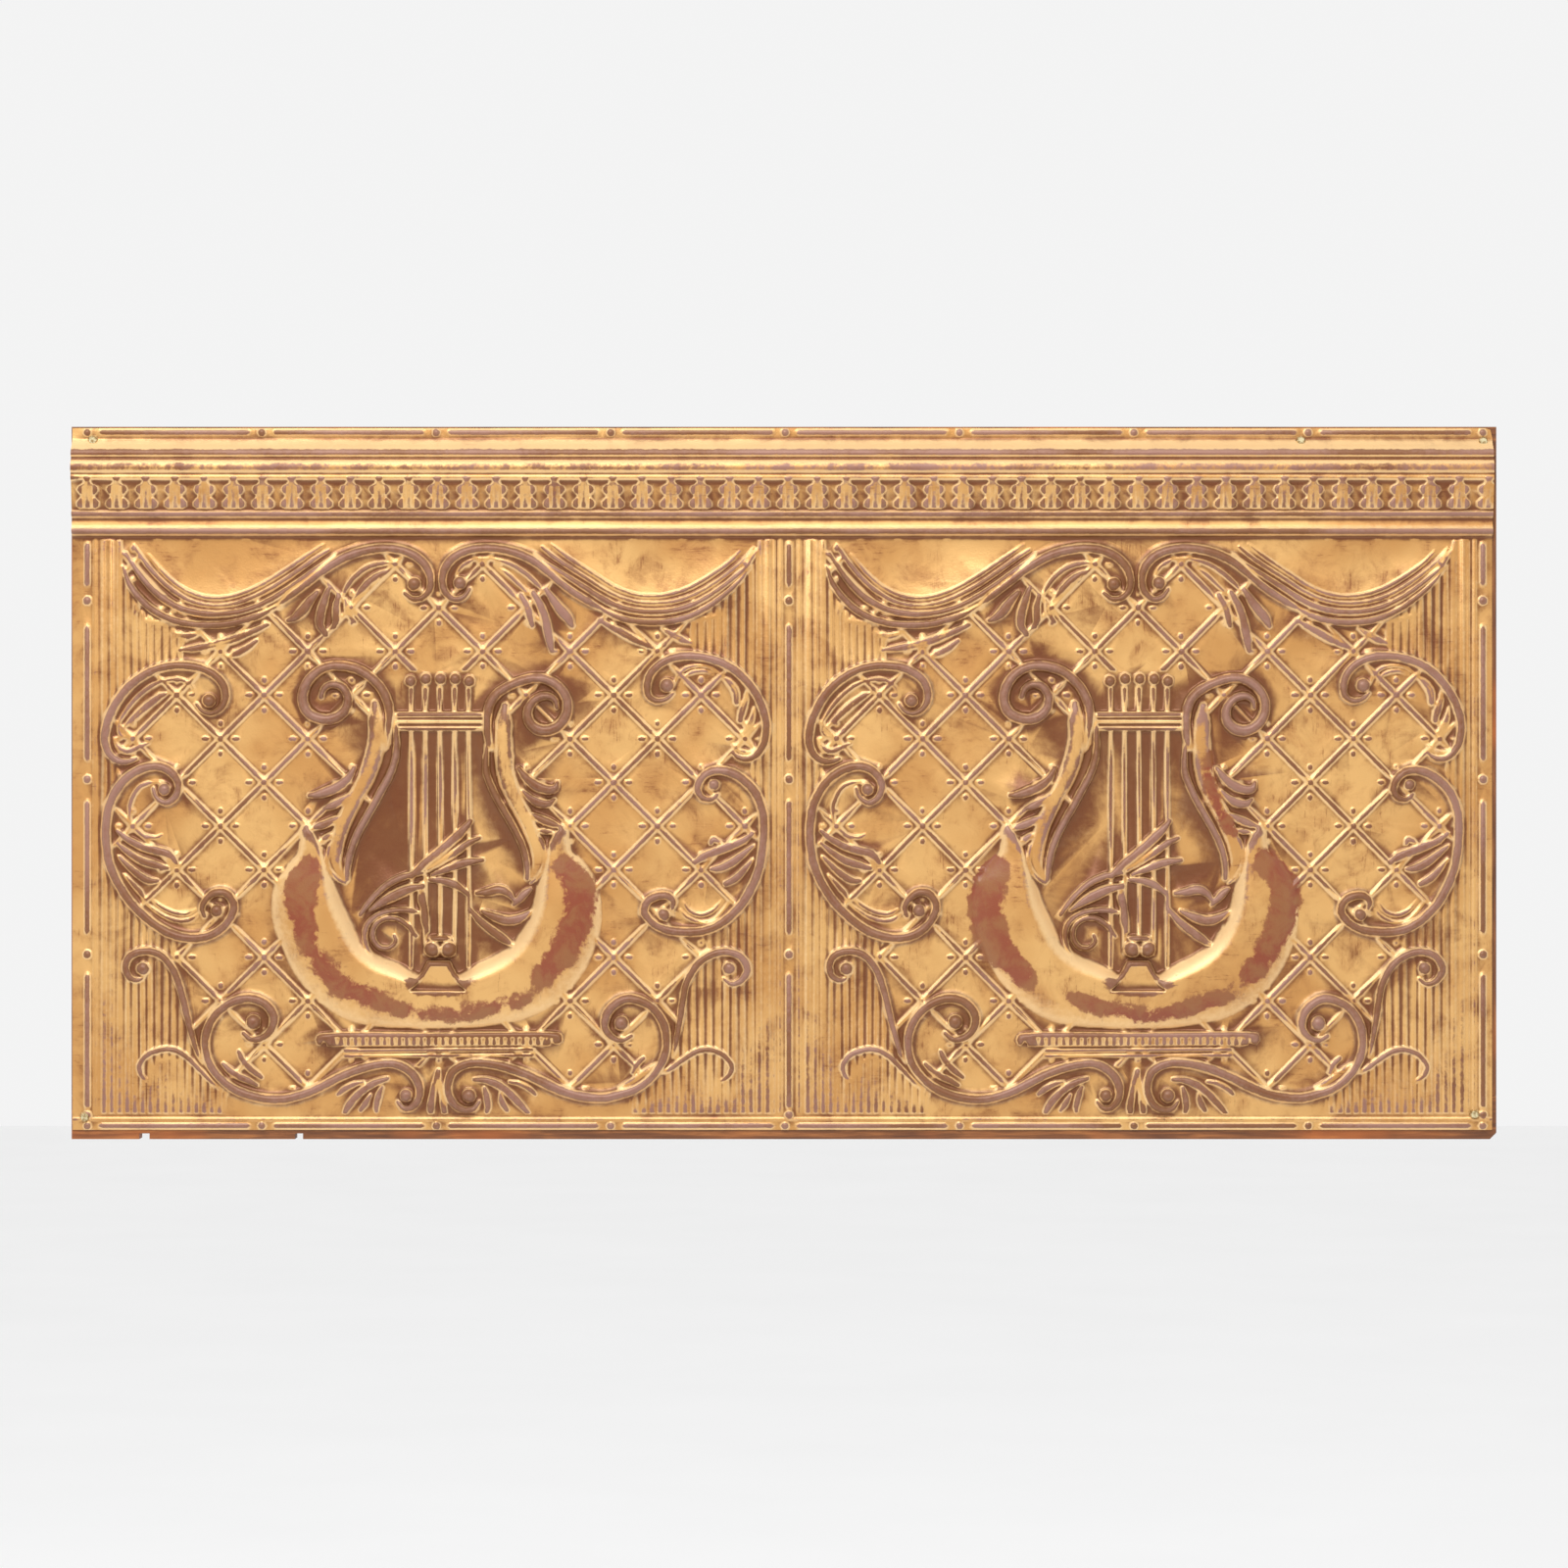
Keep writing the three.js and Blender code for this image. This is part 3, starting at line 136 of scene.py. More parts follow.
# Thin lines that follow the scrolls inside
SCROLL_LINES = {
    "upper_left_c": (3, [(-214, 118, 1.4), (-219, 126, 1.7), (-229, 129.7, 1.9), (-241, 128.7, 2),
        (-253, 124, 2.2), (-265, 114.5, 2.2), (-275, 102.5, 2.2), (-281.5, 90, 2.2), (-279.5, 81, 2.2),
        (-271.5, 78.5, 2), (-264.5, 82, 1.2)]),
    "upper_left_c_end": (4.2, [(-285.5, 78, 2), (-281.5, 70, 3.8), (-273.5, 66.5, 3.8), (-264.5, 70, 2.8),
        (-255, 74, 1.4)]),
    "upper_right_c_a": (3, [(206.5, 124, 1.2), (210, 133, 1.6), (218, 140, 1.8), (229.5, 142, 1.9),
        (240, 140, 1.9), (247, 134.5, 1.4)]),
    "upper_right_c_b": (3, [(212.5, 125, 1.2), (216, 132, 1.5), (223.5, 136.3, 1.6), (233.5, 137.4, 1.6),
        (241.5, 134.5, 1.2)]),
    "upper_right_c_end": (4.2, [(257.5, 73, 1.4), (264, 67.5, 3), (272, 65.3, 3.6), (279.5, 68.5, 3),
        (282.5, 76, 1.6)]),
    "lower_left_c": (3, [(-248, 40, 1.2), (-256, 38.5, 1.8), (-264, 34.5, 2), (-270, 24, 2), (-272, 12, 2),
        (-268.5, 0, 2), (-260.5, -7, 2), (-249, -9.5, 1.6), (-243, -6.5, 1.2)]),
    "lower_left_c_foot_a": (2.8, [(-262, -63, 1.2), (-251, -72, 1.7), (-240, -79, 1.9), (-228, -82.5, 1.9),
        (-217.5, -81, 1.8), (-211, -75, 1.2)]),
    "lower_left_c_foot_b": (2.8, [(-256, -60, 1.2), (-246, -69, 1.5), (-234, -75, 1.6), (-222, -76.5, 1.5),
        (-213.5, -72, 1.1)]),
    "lower_right_c_foot_a": (2.8, [(211.5, -72, 1.2), (217, -78.5, 1.7), (228, -83.5, 1.9),
        (239.5, -82, 1.9), (248.5, -74.5, 1.8), (256, -64, 1.2)]),
    "lower_right_c_foot_b": (2.8, [(214.5, -66, 1.2), (220.5, -74, 1.5), (230, -77.5, 1.6),
        (241, -73.5, 1.5), (249, -64.5, 1.1)]),
    "left_tendril": (2.4, [(-251.5, -222, 1), (-250, -212.5, 1.3), (-244.5, -206, 1.4), (-236, -202.5, 1.3),
        (-228, -206, 1)]),
    "left_crest_arc": (3.2, [(-86, 199, 1.4), (-82, 209, 1.8), (-74, 220, 2.2), (-62, 228.5, 2.4),
        (-48, 232, 2.4), (-36, 230.5, 2), (-30, 224, 1.4)]),
    "left_crest_leaf": (4.6, [(-76, 199, 1.6), (-69, 207, 3.6), (-61, 215.5, 4.2), (-52, 222, 3.6),
        (-44, 226, 1.8)]),
    "right_crest_arc": (3.2, [(95, 203, 1.4), (86, 214, 2), (74, 224.5, 2.2), (60, 232.5, 2.4),
        (44, 236, 2.4), (30, 235, 2.2), (20, 229, 2), (15, 221, 1.6)]),
    "right_crest_vein_a": (3, [(84, 199.5, 1.2), (73, 210.5, 1.6), (61, 222, 1.6), (52, 228, 1)]),
    "right_crest_vein_b": (3, [(70, 199.5, 1.2), (62, 208, 1.6), (52, 218.5, 1.4), (44, 224, 1)]),
}

# Round ends of the scrolls: x, y, radius and height
SCROLL_EYES = [
    (-202, 111, 6.4, 7.5), (200.5, 124.5, 6.6, 7.5), (-241, 33, 6, 7.5), (241.5, 37.5, 5.6, 7),
    (-195, -73.5, 6.2, 7.5), (197.5, -77, 6.4, 7.5), (-260, -124.5, 6.6, 7), (255, -124, 6.2, 7),
    (-163, -171.5, 7, 7.5), (160.5, -172.5, 7, 7.5), (-28.5, -236, 6.2, 7.5), (26.5, -236, 6.6, 7.5),
    (-21.5, 213.5, 6.4, 7.5), (18.5, 214.5, 6.2, 7.5),
]

# Folds of the left swag, from the hem down
LEFT_SWAG = {
    "hem": (2.6, [(-256, 240, 1.2), (-247, 228.5, 2), (-238, 219, 2.2), (-228, 211, 2.4),
        (-215, 204.3, 2.4), (-200, 200.8, 2.4), (-185, 201.8, 2.4), (-170, 206, 2.4), (-155, 213, 2.4),
        (-140, 222, 2.4), (-125, 232, 2.2), (-112, 241, 1.8), (-101, 248.5, 1.2)]),
    "upper_fold": (3.8, [(-268.5, 248, 1.4), (-261, 236.5, 2.2), (-252.5, 225.5, 2.6), (-243, 215.5, 2.8),
        (-231, 206, 2.8), (-217, 198, 3), (-200, 194.3, 3), (-183, 195.3, 3), (-168, 199.8, 3),
        (-152, 207.3, 3), (-137, 216, 2.8), (-121, 227, 2.6), (-107, 237, 2), (-96, 244, 1.2)]),
    "roll": (6, [(-275, 241, 1.4), (-268.5, 230, 2.4), (-260, 218.5, 3), (-250, 207.5, 3.6),
        (-237, 197.5, 4), (-221, 190.3, 4.4), (-200, 187, 4.6), (-180, 188, 4.4), (-163, 192.5, 4.2),
        (-147, 200, 4), (-131, 210, 3.8), (-115, 221.5, 3.4), (-101, 232, 2.6), (-91, 240, 1.6)]),
    "edge": (6.6, [(-277.5, 229, 1.6), (-273, 216, 2.8), (-266, 205, 3.4), (-256, 194.5, 3.8),
        (-243, 186, 4), (-228, 180.5, 4), (-210, 177.8, 4), (-190, 178.2, 4), (-172, 181.5, 4),
        (-156, 187, 4), (-142, 195, 3.6)]),
}

# Folds of the right swag, from the hem down
RIGHT_SWAG = {
    "hem": (2.6, [(98, 249, 1.2), (109, 240, 2), (124, 229.5, 2.4), (138, 220.5, 2.4), (152, 211.5, 2.4),
        (168, 205, 2.4), (185, 202.3, 2.4), (203, 204.3, 2.4), (219, 209.5, 2.4), (233, 217, 2.4),
        (246, 225.5, 2.2), (257, 234, 1.8), (265, 243, 1.2)]),
    "upper_fold": (3.8, [(90, 246.5, 1.4), (102, 236.5, 2.2), (117, 226.5, 2.8), (132, 217, 3),
        (146, 208, 3), (162, 200.5, 3), (180, 196.5, 3), (200, 197, 3), (216, 200.5, 3), (231, 207, 3),
        (246, 216.5, 2.8), (259, 226.5, 2.4), (270, 237, 1.6), (277, 246, 1)]),
    "roll": (6, [(84, 240.5, 1.6), (97, 230, 2.8), (112, 220.5, 3.4), (128, 210.5, 3.8), (143, 201, 4.2),
        (160, 193, 4.4), (178, 189, 4.6), (198, 189, 4.6), (216, 192.5, 4.4), (232, 199.5, 4.2),
        (246, 208.5, 3.8), (259, 218.5, 3.2), (270, 228.5, 2.4), (277, 238, 1.4)]),
    "edge": (6.6, [(142, 193, 3.6), (153, 186.5, 3.8), (167, 182, 4), (183, 180.3, 4), (200, 180.8, 4),
        (216, 184, 4), (231, 190.5, 3.8), (244, 199, 3.4), (256, 208.5, 2.8), (266, 218.5, 2.2),
        (274, 229, 1.4)]),
}

# Volutes, lips and arms of the lyre
LYRE_BANDS = {
    "left_volute": (8.5, [(-45.5, 75, 4.6), (-43.5, 88, 4.8), (-43.3, 102, 4.8), (-46, 113, 4.8),
        (-51.5, 123, 4.8), (-59, 131, 4.8), (-69, 137.5, 4.8), (-80, 141, 4.8), (-92, 141.8, 4.8),
        (-103, 138.8, 4.8), (-112, 132, 5), (-118, 122, 5.2), (-119.5, 111, 5.4), (-115.5, 101.5, 5.6),
        (-107, 96, 5.6), (-97, 94.8, 5.6), (-87.5, 98, 5.4), (-81, 105.5, 5), (-80, 115.5, 4.6),
        (-85.5, 123.5, 4.2), (-94, 125.5, 3.6), (-101, 121.5, 3), (-103.5, 114.5, 2.2)]),
    "right_volute": (8.5, [(45.5, 70, 4.6), (43, 83, 4.8), (42.5, 96, 4.8), (45, 108, 4.8), (51, 117, 4.8),
        (60, 123, 4.8), (70, 127.5, 4.8), (81, 130.5, 4.8), (92, 130.5, 4.8), (102, 126, 4.8),
        (109.5, 118, 5), (113, 108, 5.2), (111.5, 97.5, 5.4), (105, 89, 5.8), (95.5, 85, 6),
        (85.5, 87, 5.8), (79, 94.5, 5.2), (79, 104.5, 4.6), (85, 112.5, 4.2), (94.5, 115.5, 3.6),
        (102, 112, 3), (104, 105, 2.2)]),
    "left_lip": (7.5, [(-38.5, 100, 2.2), (-37.5, 86, 3), (-37, 72, 3.2), (-38.5, 59, 3.4), (-43, 46, 3.6),
        (-50, 33, 3.8), (-57, 20, 3.8), (-64.5, 7, 3.8), (-71.5, -6, 3.8), (-77, -20, 3.8), (-80, -33, 3.6),
        (-81, -46, 2.6)]),
    "right_lip": (7.5, [(42, 74, 2.2), (41.5, 62, 2.8), (41.5, 49, 3.4), (46, 36, 3.6), (53, 22, 3.8),
        (60.5, 9, 3.8), (68, -4, 3.8), (74, -17, 3.8), (77.5, -31, 3.6), (78, -45, 2.6)]),
    "left_arm": (6, [(-56, 108, 4), (-55, 95, 8), (-54, 82, 8.6), (-56, 68, 8.6), (-60, 54, 8.6),
        (-66, 40, 8.4), (-73, 27, 8), (-80, 13, 7.6), (-86, -2, 7.4), (-89.5, -17, 7), (-90, -31, 6),
        (-86, -43, 4)]),
    "right_arm": (6, [(58, 106, 4), (57, 93, 8), (56, 80, 9), (57, 66, 9), (58.5, 52, 9), (62, 38, 9),
        (68, 24, 8.6), (75, 10, 8), (81, -4, 7.6), (85.5, -18, 7), (86.5, -31, 6), (83, -43, 4)]),
    "left_cuff": (6.5, [(-91, -8, 1.4), (-96, -18, 2.6), (-97.5, -29, 3), (-94.5, -39, 3), (-88, -46, 2.4),
        (-82, -49, 1.4)]),
    "right_cuff": (6.5, [(83, -2, 1.4), (89.5, -11, 2.6), (93, -22, 3), (92, -34, 3), (87, -44, 2.4),
        (80.5, -49.5, 1.4)]),
}

# Leaves: height, then x, y and half width down the midrib
LEAVES = {
    "left_arm_a": (7.5, [(-74, 52, 2), (-80, 42, 4.5), (-89, 35, 5.5), (-99, 31, 5), (-108, 28.5, 3.6),
        (-114, 28, 1.6)]),
    "left_arm_b": (6.5, [(-70, 36, 2), (-77, 28, 4), (-86, 22.5, 4.8), (-94, 18.5, 3.8),
        (-100, 16.5, 1.6)]),
    "left_arm_c": (6, [(-78, 12, 2), (-86, 8, 4), (-96, 4, 4.6), (-106, 0.5, 4), (-113, -2, 2)]),
    "left_arm_d": (5.5, [(-86, -4, 2), (-94, -7, 3.6), (-102, -12, 4), (-108, -18, 2.4)]),
    "right_arm_a": (7.5, [(70, 52, 2), (77, 43, 4.5), (86, 36, 5.5), (95, 33, 5), (102, 34, 3.6),
        (104, 39, 1.8)]),
    "right_arm_b": (6.5, [(74, 32, 2), (81, 25, 4.4), (90, 21, 5), (97, 21, 3.6), (101, 24, 1.8)]),
    "right_arm_c": (6, [(80, 12, 2), (87, 8, 4), (95, 4.5, 4.4), (103, 1.5, 3.4), (109, -1, 1.6)]),
    "right_arm_d": (5.5, [(84, -2, 2), (92, -3.5, 3), (100, -4.5, 2.6), (106, -4, 1.4)]),
    "left_c_leaf_a": (5, [(-283, -3, 1.6), (-273, -11, 3.4), (-260, -17.5, 4.2), (-247, -21, 4.6),
        (-237, -24.5, 4.6), (-230, -32, 2.4)]),
    "left_c_leaf_b": (4.6, [(-283, -14, 1.6), (-273, -22, 3.4), (-262, -29, 4.2), (-250, -33, 4),
        (-238, -36, 2.6)]),
    "left_c_leaf_c": (4.2, [(-281, -26, 1.6), (-273, -34, 3), (-264, -42, 3.8), (-255, -47, 3.4),
        (-247, -47.5, 1.6)]),
    "left_c_leaf_d": (3.8, [(-276, -42, 1.4), (-269, -50, 2.6), (-262, -58, 2.8), (-258, -64, 1.4)]),
    "right_c_leaf_a": (5, [(277, -5, 1.6), (267, -12, 3.6), (255, -17, 4.6), (243, -21.5, 4.8),
        (233, -26, 4.6), (225, -31, 2.4)]),
    "right_c_leaf_b": (4.6, [(277, -16, 1.6), (267, -24, 3.6), (257, -31.5, 4.4), (247, -36, 3.6),
        (239, -37, 1.8)]),
    "right_c_leaf_c": (4.2, [(276, -28, 1.6), (269, -37, 3.2), (261, -45, 3.6), (252, -50, 2.6)]),
    "right_c_curl": (4, [(252, -16, 1.2), (246, -13, 2.4), (241, -11, 2.6), (239, -15, 2)]),
    "upper_left_inner": (3.4, [(-277, 88, 1.6), (-268, 96, 3.6), (-257, 106, 4), (-246, 114, 3.2),
        (-238, 118, 1.4)]),
    "upper_right_inner_a": (3.6, [(249, 132, 1.6), (256, 127, 3.8), (261, 119, 4.4), (262, 110, 3.6)]),
    "upper_right_inner_b": (3.6, [(270, 121, 1.6), (270, 112, 3.6), (267, 103, 4.2), (265, 94, 3.2)]),
    "upper_right_inner_c": (3.6, [(277, 106, 1.4), (276, 97, 3.2), (272, 88, 3.8), (267, 82, 2.6)]),
    "left_tip_a": (3.6, [(-262, 199, 2), (-265, 193, 3.2), (-268.5, 186.5, 1.4)]),
    "left_tip_b": (3.2, [(-232, 177, 1.6), (-242, 179.5, 2.4), (-252, 181, 2.6), (-262, 182.5, 1.4)]),
    "left_tip_c": (3.4, [(-208, 172, 1.8), (-216, 169, 3.6), (-224, 168, 3.6), (-235, 170.5, 1.6)]),
    "left_long_leaf": (4.2, [(-150, 178, 1.6), (-165, 171.5, 3.6), (-181, 165, 4.8), (-197, 160.5, 4.8),
        (-212, 157.5, 3.6), (-229, 155.5, 1.4)]),
    "left_short_leaf": (3.4, [(-160, 164, 1.6), (-168, 158, 3.6), (-178, 152.5, 3.6), (-188, 149, 1.4)]),
    "left_acanthus_a": (5.5, [(-107, 206, 2.4), (-114, 198, 5), (-120, 190, 5.6), (-127, 184, 3.6),
        (-133, 181.5, 1.6)]),
    "left_acanthus_b": (5.5, [(-97, 209, 2.4), (-101, 198, 4.6), (-104, 187, 5), (-104, 177, 4.2),
        (-99, 169, 2)]),
    "left_acanthus_c": (5, [(-88, 203, 2.4), (-90, 194, 4.2), (-90, 184, 4.2), (-92, 176, 2)]),
    "left_acanthus_d": (4, [(-82, 200, 2), (-80, 191, 4.4), (-77, 184, 3), (-73, 180, 1.4)]),
    "right_acanthus_a": (5, [(72, 204, 2.4), (77, 195, 4.6), (80, 186, 4.8), (82, 177, 2.2)]),
    "right_acanthus_b": (5.5, [(83, 206, 2.4), (89, 195, 4.4), (93, 184, 4.8), (96, 172, 5), (98, 162, 4.2),
        (99, 155, 2)]),
    "right_acanthus_c": (5.5, [(95, 208, 2.4), (101, 199, 4.4), (107, 191, 5.6), (113, 184, 5.2),
        (117, 177, 2.4)]),
    "right_long_leaf": (4.2, [(141, 182, 1.6), (152, 176, 3.6), (164, 169.5, 4.6), (176, 163, 3.8),
        (189, 156, 1.4)]),
    "right_short_leaf": (3.6, [(196, 175, 1.6), (204, 170, 3.6), (213, 165, 3.8), (223, 161, 1.6)]),
    "right_tip_a": (3.2, [(216, 180, 1.4), (226, 182, 2.4), (237, 184, 2.4), (248, 187, 1.2)]),
    "left_inner_a": (4.6, [(-190, -208, 1.6), (-184, -214, 3.4), (-176, -219, 4), (-167, -223, 3.4),
        (-160, -227, 1.6)]),
    "left_inner_b": (4.2, [(-176, -197, 1.6), (-172, -205, 3.4), (-165, -213, 3.8), (-156, -220, 1.8)]),
    "right_inner_a": (4.6, [(191, -207, 1.6), (184, -213, 3.4), (176, -219, 3.8), (167, -225, 3),
        (158, -229, 1.6)]),
    "right_inner_b": (4.2, [(180, -203, 1.6), (174, -209, 3), (171, -216, 2.4)]),
    "left_foot_leaf_a": (4.6, [(-45, -221, 1.6), (-54, -224, 3.4), (-64, -229, 4.2), (-73, -237, 4.4),
        (-80, -246, 3.4), (-83, -252, 1.6)]),
    "left_foot_leaf_b": (4.2, [(-66, -224, 1.6), (-75, -226, 3.4), (-83, -230, 3.4), (-89, -235, 1.4)]),
    "left_foot_leaf_c": (4.2, [(-50, -228, 1.6), (-53, -236, 3.4), (-55, -244, 3), (-55, -250, 1.4)]),
    "left_foot_leaf_d": (4.2, [(-60, -235, 1.6), (-64, -242, 3.2), (-69, -249, 1.6)]),
    "right_foot_leaf_a": (4.6, [(31, -222, 1.6), (41, -222.5, 3.2), (52, -226.5, 4.2), (62, -234, 4.4),
        (71, -243, 3.6), (79, -252, 1.6)]),
    "right_foot_leaf_b": (4.2, [(40, -229, 1.6), (42, -237, 3.4), (43, -245, 3.2), (42, -251, 1.6)]),
    "right_foot_leaf_c": (4.2, [(54, -234, 1.6), (56, -242, 3.4), (60, -249, 1.8)]),
    "right_foot_leaf_d": (4.2, [(62, -224, 1.6), (71, -225, 3.2), (79, -229, 3.2), (85, -235, 1.4)]),
    "centre_leaf_left": (4.8, [(-1, -214, 1.6), (-3.5, -225, 3), (-5.5, -236, 4), (-7, -244, 4.2),
        (-7, -251, 2.2)]),
    "centre_leaf_right": (4.8, [(0, -214, 1.6), (1, -225, 2.8), (3, -236, 3.8), (4.5, -244, 4.2),
        (5, -251, 2.2)]),
}

# Leaves of the spray that lies across the strings
SPRAY = {
    "spray_a": (7.5, [(-24, -43, 3), (-12, -32, 5), (1, -22, 5.6), (13, -11, 5.6), (22, -2, 4.2),
        (28.5, 5.5, 1.6)]),
    "spray_b": (6.5, [(-10, -38, 2.4), (3, -30, 4.2), (15, -21.5, 4.6), (26, -14, 3.4), (36, -9.5, 1.4)]),
    "spray_c": (6.5, [(-6, -42, 2), (6, -37, 4), (17, -33, 5), (27, -30.5, 4), (39, -29, 1.4)]),
    "spray_d": (6, [(-8, -46, 2), (3, -47, 3.8), (13, -50, 4.2), (21, -55, 2.8), (26, -60, 1.2)]),
    "spray_e": (6.5, [(-14, -40, 2.4), (-27, -42.5, 3.2), (-40, -47.5, 3.2), (-51, -55.5, 3),
        (-61, -66, 2.8), (-69, -77, 1.6)]),
    "spray_f": (7, [(-14, -52, 2.4), (-26, -54.5, 5), (-39, -60, 5.6), (-50, -66, 4.4), (-60, -73, 1.6)]),
    "spray_g": (6, [(33, -58, 1.6), (43, -57, 4), (53, -55, 4.6), (61, -58, 3.4), (66, -64, 1.8)]),
    "spray_h": (6, [(66, -68, 1.6), (71, -63, 3.6), (76, -58, 3.6), (81, -54, 1.6)]),
    "spray_i": (6, [(38, -74, 1.6), (49, -79, 4.4), (61, -82, 5), (73, -79.5, 4.4), (85, -71.5, 1.6)]),
    "spray_j": (5.5, [(27, -72, 1.6), (36, -82, 3.8), (47, -91, 4.6), (58, -99, 4), (69, -106, 1.6)]),
}

# Its stem and curls
SPRAY_STEMS = {
    "curl": (6, [(-17, -75, 2), (-28, -73, 2.8), (-40, -73.5, 3), (-52, -76.5, 3), (-61.5, -84, 3),
        (-65, -95, 3), (-63, -106, 3), (-56.5, -115.5, 2.6), (-49, -121.5, 1.6)]),
    "curl_inner": (6, [(-20, -96, 1.6), (-27, -87, 2.4), (-37, -80.5, 2.6), (-48, -80.5, 2.6),
        (-56.5, -87, 2.6), (-58, -97, 2.6), (-53, -105, 2.4), (-44.5, -106.5, 2.2), (-38, -101, 1.8),
        (-39.5, -95, 1.2)]),
    "stem": (6, [(-14, -50, 4), (-15, -60, 5), (-13, -71, 4), (-12, -82, 4.4), (-10, -92, 2.4)]),
}

# Outlines of the reeded fields
LEFT_REEDS = [
    (-298, 253), (-278, 253), (-279, 232), (-272, 208), (-262, 192), (-240, 178), (-216, 168), (-226, 158),
    (-224, 147), (-240, 141), (-260, 133), (-281, 113), (-292, 86), (-293, 70), (-286, 58), (-277, 45),
    (-289, 20), (-292, 0), (-290, -30), (-279, -54), (-262, -75), (-240, -92), (-224, -98), (-232, -112),
    (-246, -111), (-236, -120), (-229, -136), (-221, -165), (-213, -195), (-206, -210), (-196, -218),
    (-180, -230), (-187, -238), (-187, -253), (-298, -253),
]

# and at the other end
RIGHT_REEDS = [
    (296, 253), (281, 253), (279, 236), (268, 220), (256, 208), (240, 195), (226, 186), (218, 174),
    (222, 160), (226, 150), (250, 143), (270, 128), (283, 107), (288, 84), (284, 68), (274, 58), (276, 34),
    (285, 10), (284, -23), (274, -55), (250, -83), (228, -92), (240, -112), (229, -119), (217, -139),
    (212, -165), (206, -202), (192, -214), (176, -229), (168, -236), (168, -253), (296, -253),
]

# Plain ground inside the swags
LEFT_SWAG_FIELD = [
    (-268, 253), (-262, 238), (-252, 224), (-240, 212), (-222, 200), (-200, 193), (-178, 196), (-150, 207),
    (-122, 226), (-96, 244), (-90, 253),
]

# and at the other end
RIGHT_SWAG_FIELD = [
    (88, 253), (102, 238), (130, 218), (160, 199), (185, 194), (215, 198), (244, 214), (268, 236),
    (277, 253),
]

# Plain ground inside the lyre
LYRE_FIELD = [
    (-45, 103), (-38, 138), (40, 138), (45, 103), (44, 60), (55, 20), (75, -15), (80, -48), (95, -50),
    (96, -80), (80, -108), (50, -128), (0, -146), (-50, -130), (-85, -108), (-100, -78), (-103, -48),
    (-82, -48), (-78, -20), (-58, 20), (-42, 50),
]

# Outline of the cornice, from the top edge down: y and height
CORNICE = [
    (351, 0), (342, 0.4), (340, 1.2), (336, 4.5), (332, 9), (330, 11), (328, 11.6), (326, 11.2),
    (324.8, 9.6), (324, 8.6), (323, 9.4), (321, 11.8), (318, 13.6), (315, 14.2), (312.5, 13.6),
    (310.6, 11.6), (309.8, 11), (309, 11.8), (307.5, 12.8), (306, 12.6), (304.5, 11), (303, 9), (300, 8.6),
    (290, 7), (280, 5.4), (278.5, 4.8), (277.6, 6.6), (276.4, 8.2), (275, 8.4), (273.6, 7.4), (272, 4.8),
    (270.5, 3.4), (269, 3.6), (264.5, 4.6), (262, 6.2), (260.5, 7.6), (259, 7.4), (257.5, 4.6), (256, 1.8),
    (254.6, 0.4), (253, 0),
]


def smooth_curve(points, spacing):
    """Points on a Catmull-Rom curve through the given ones, about spacing apart, with what they carry."""
    p = np.asarray(points, float)
    q = np.vstack([2 * p[0] - p[1], p, 2 * p[-1] - p[-2]])
    out = []
    for i in range(1, len(q) - 2):
        count = max(1, math.ceil(np.hypot(*(q[i + 1, :2] - q[i, :2])) / spacing))
        t = (np.arange(count) / count)[:, None]
        out.append(0.5 * (2 * q[i] + (q[i + 1] - q[i - 1]) * t
                          + (2 * q[i - 1] - 5 * q[i] + 4 * q[i + 1] - q[i + 2]) * t ** 2
                          + (3 * q[i] - q[i - 1] - 3 * q[i + 1] + q[i + 2]) * t ** 3))
    out.append(p[-1:])
    return np.vstack(out)


def blurred(values, sigma):
    """A Gaussian blur, sigma in grid steps."""
    reach = int(np.ceil(3 * sigma))
    kernel = np.exp(-0.5 * (np.arange(-reach, reach + 1) / sigma) ** 2)
    kernel /= kernel.sum()
    for axis in (0, 1):
        pads = [(0, 0), (0, 0)]
        pads[axis] = (reach, reach)
        wide = np.pad(values, pads, "edge")
        size = values.shape[axis]
        values = sum(k * np.take(wide, range(i, i + size), axis) for i, k in enumerate(kernel))
    return values


def dome(u, flat=2.4, power=0.85):
    return np.clip(1 - np.abs(u) ** flat, 0, None) ** power


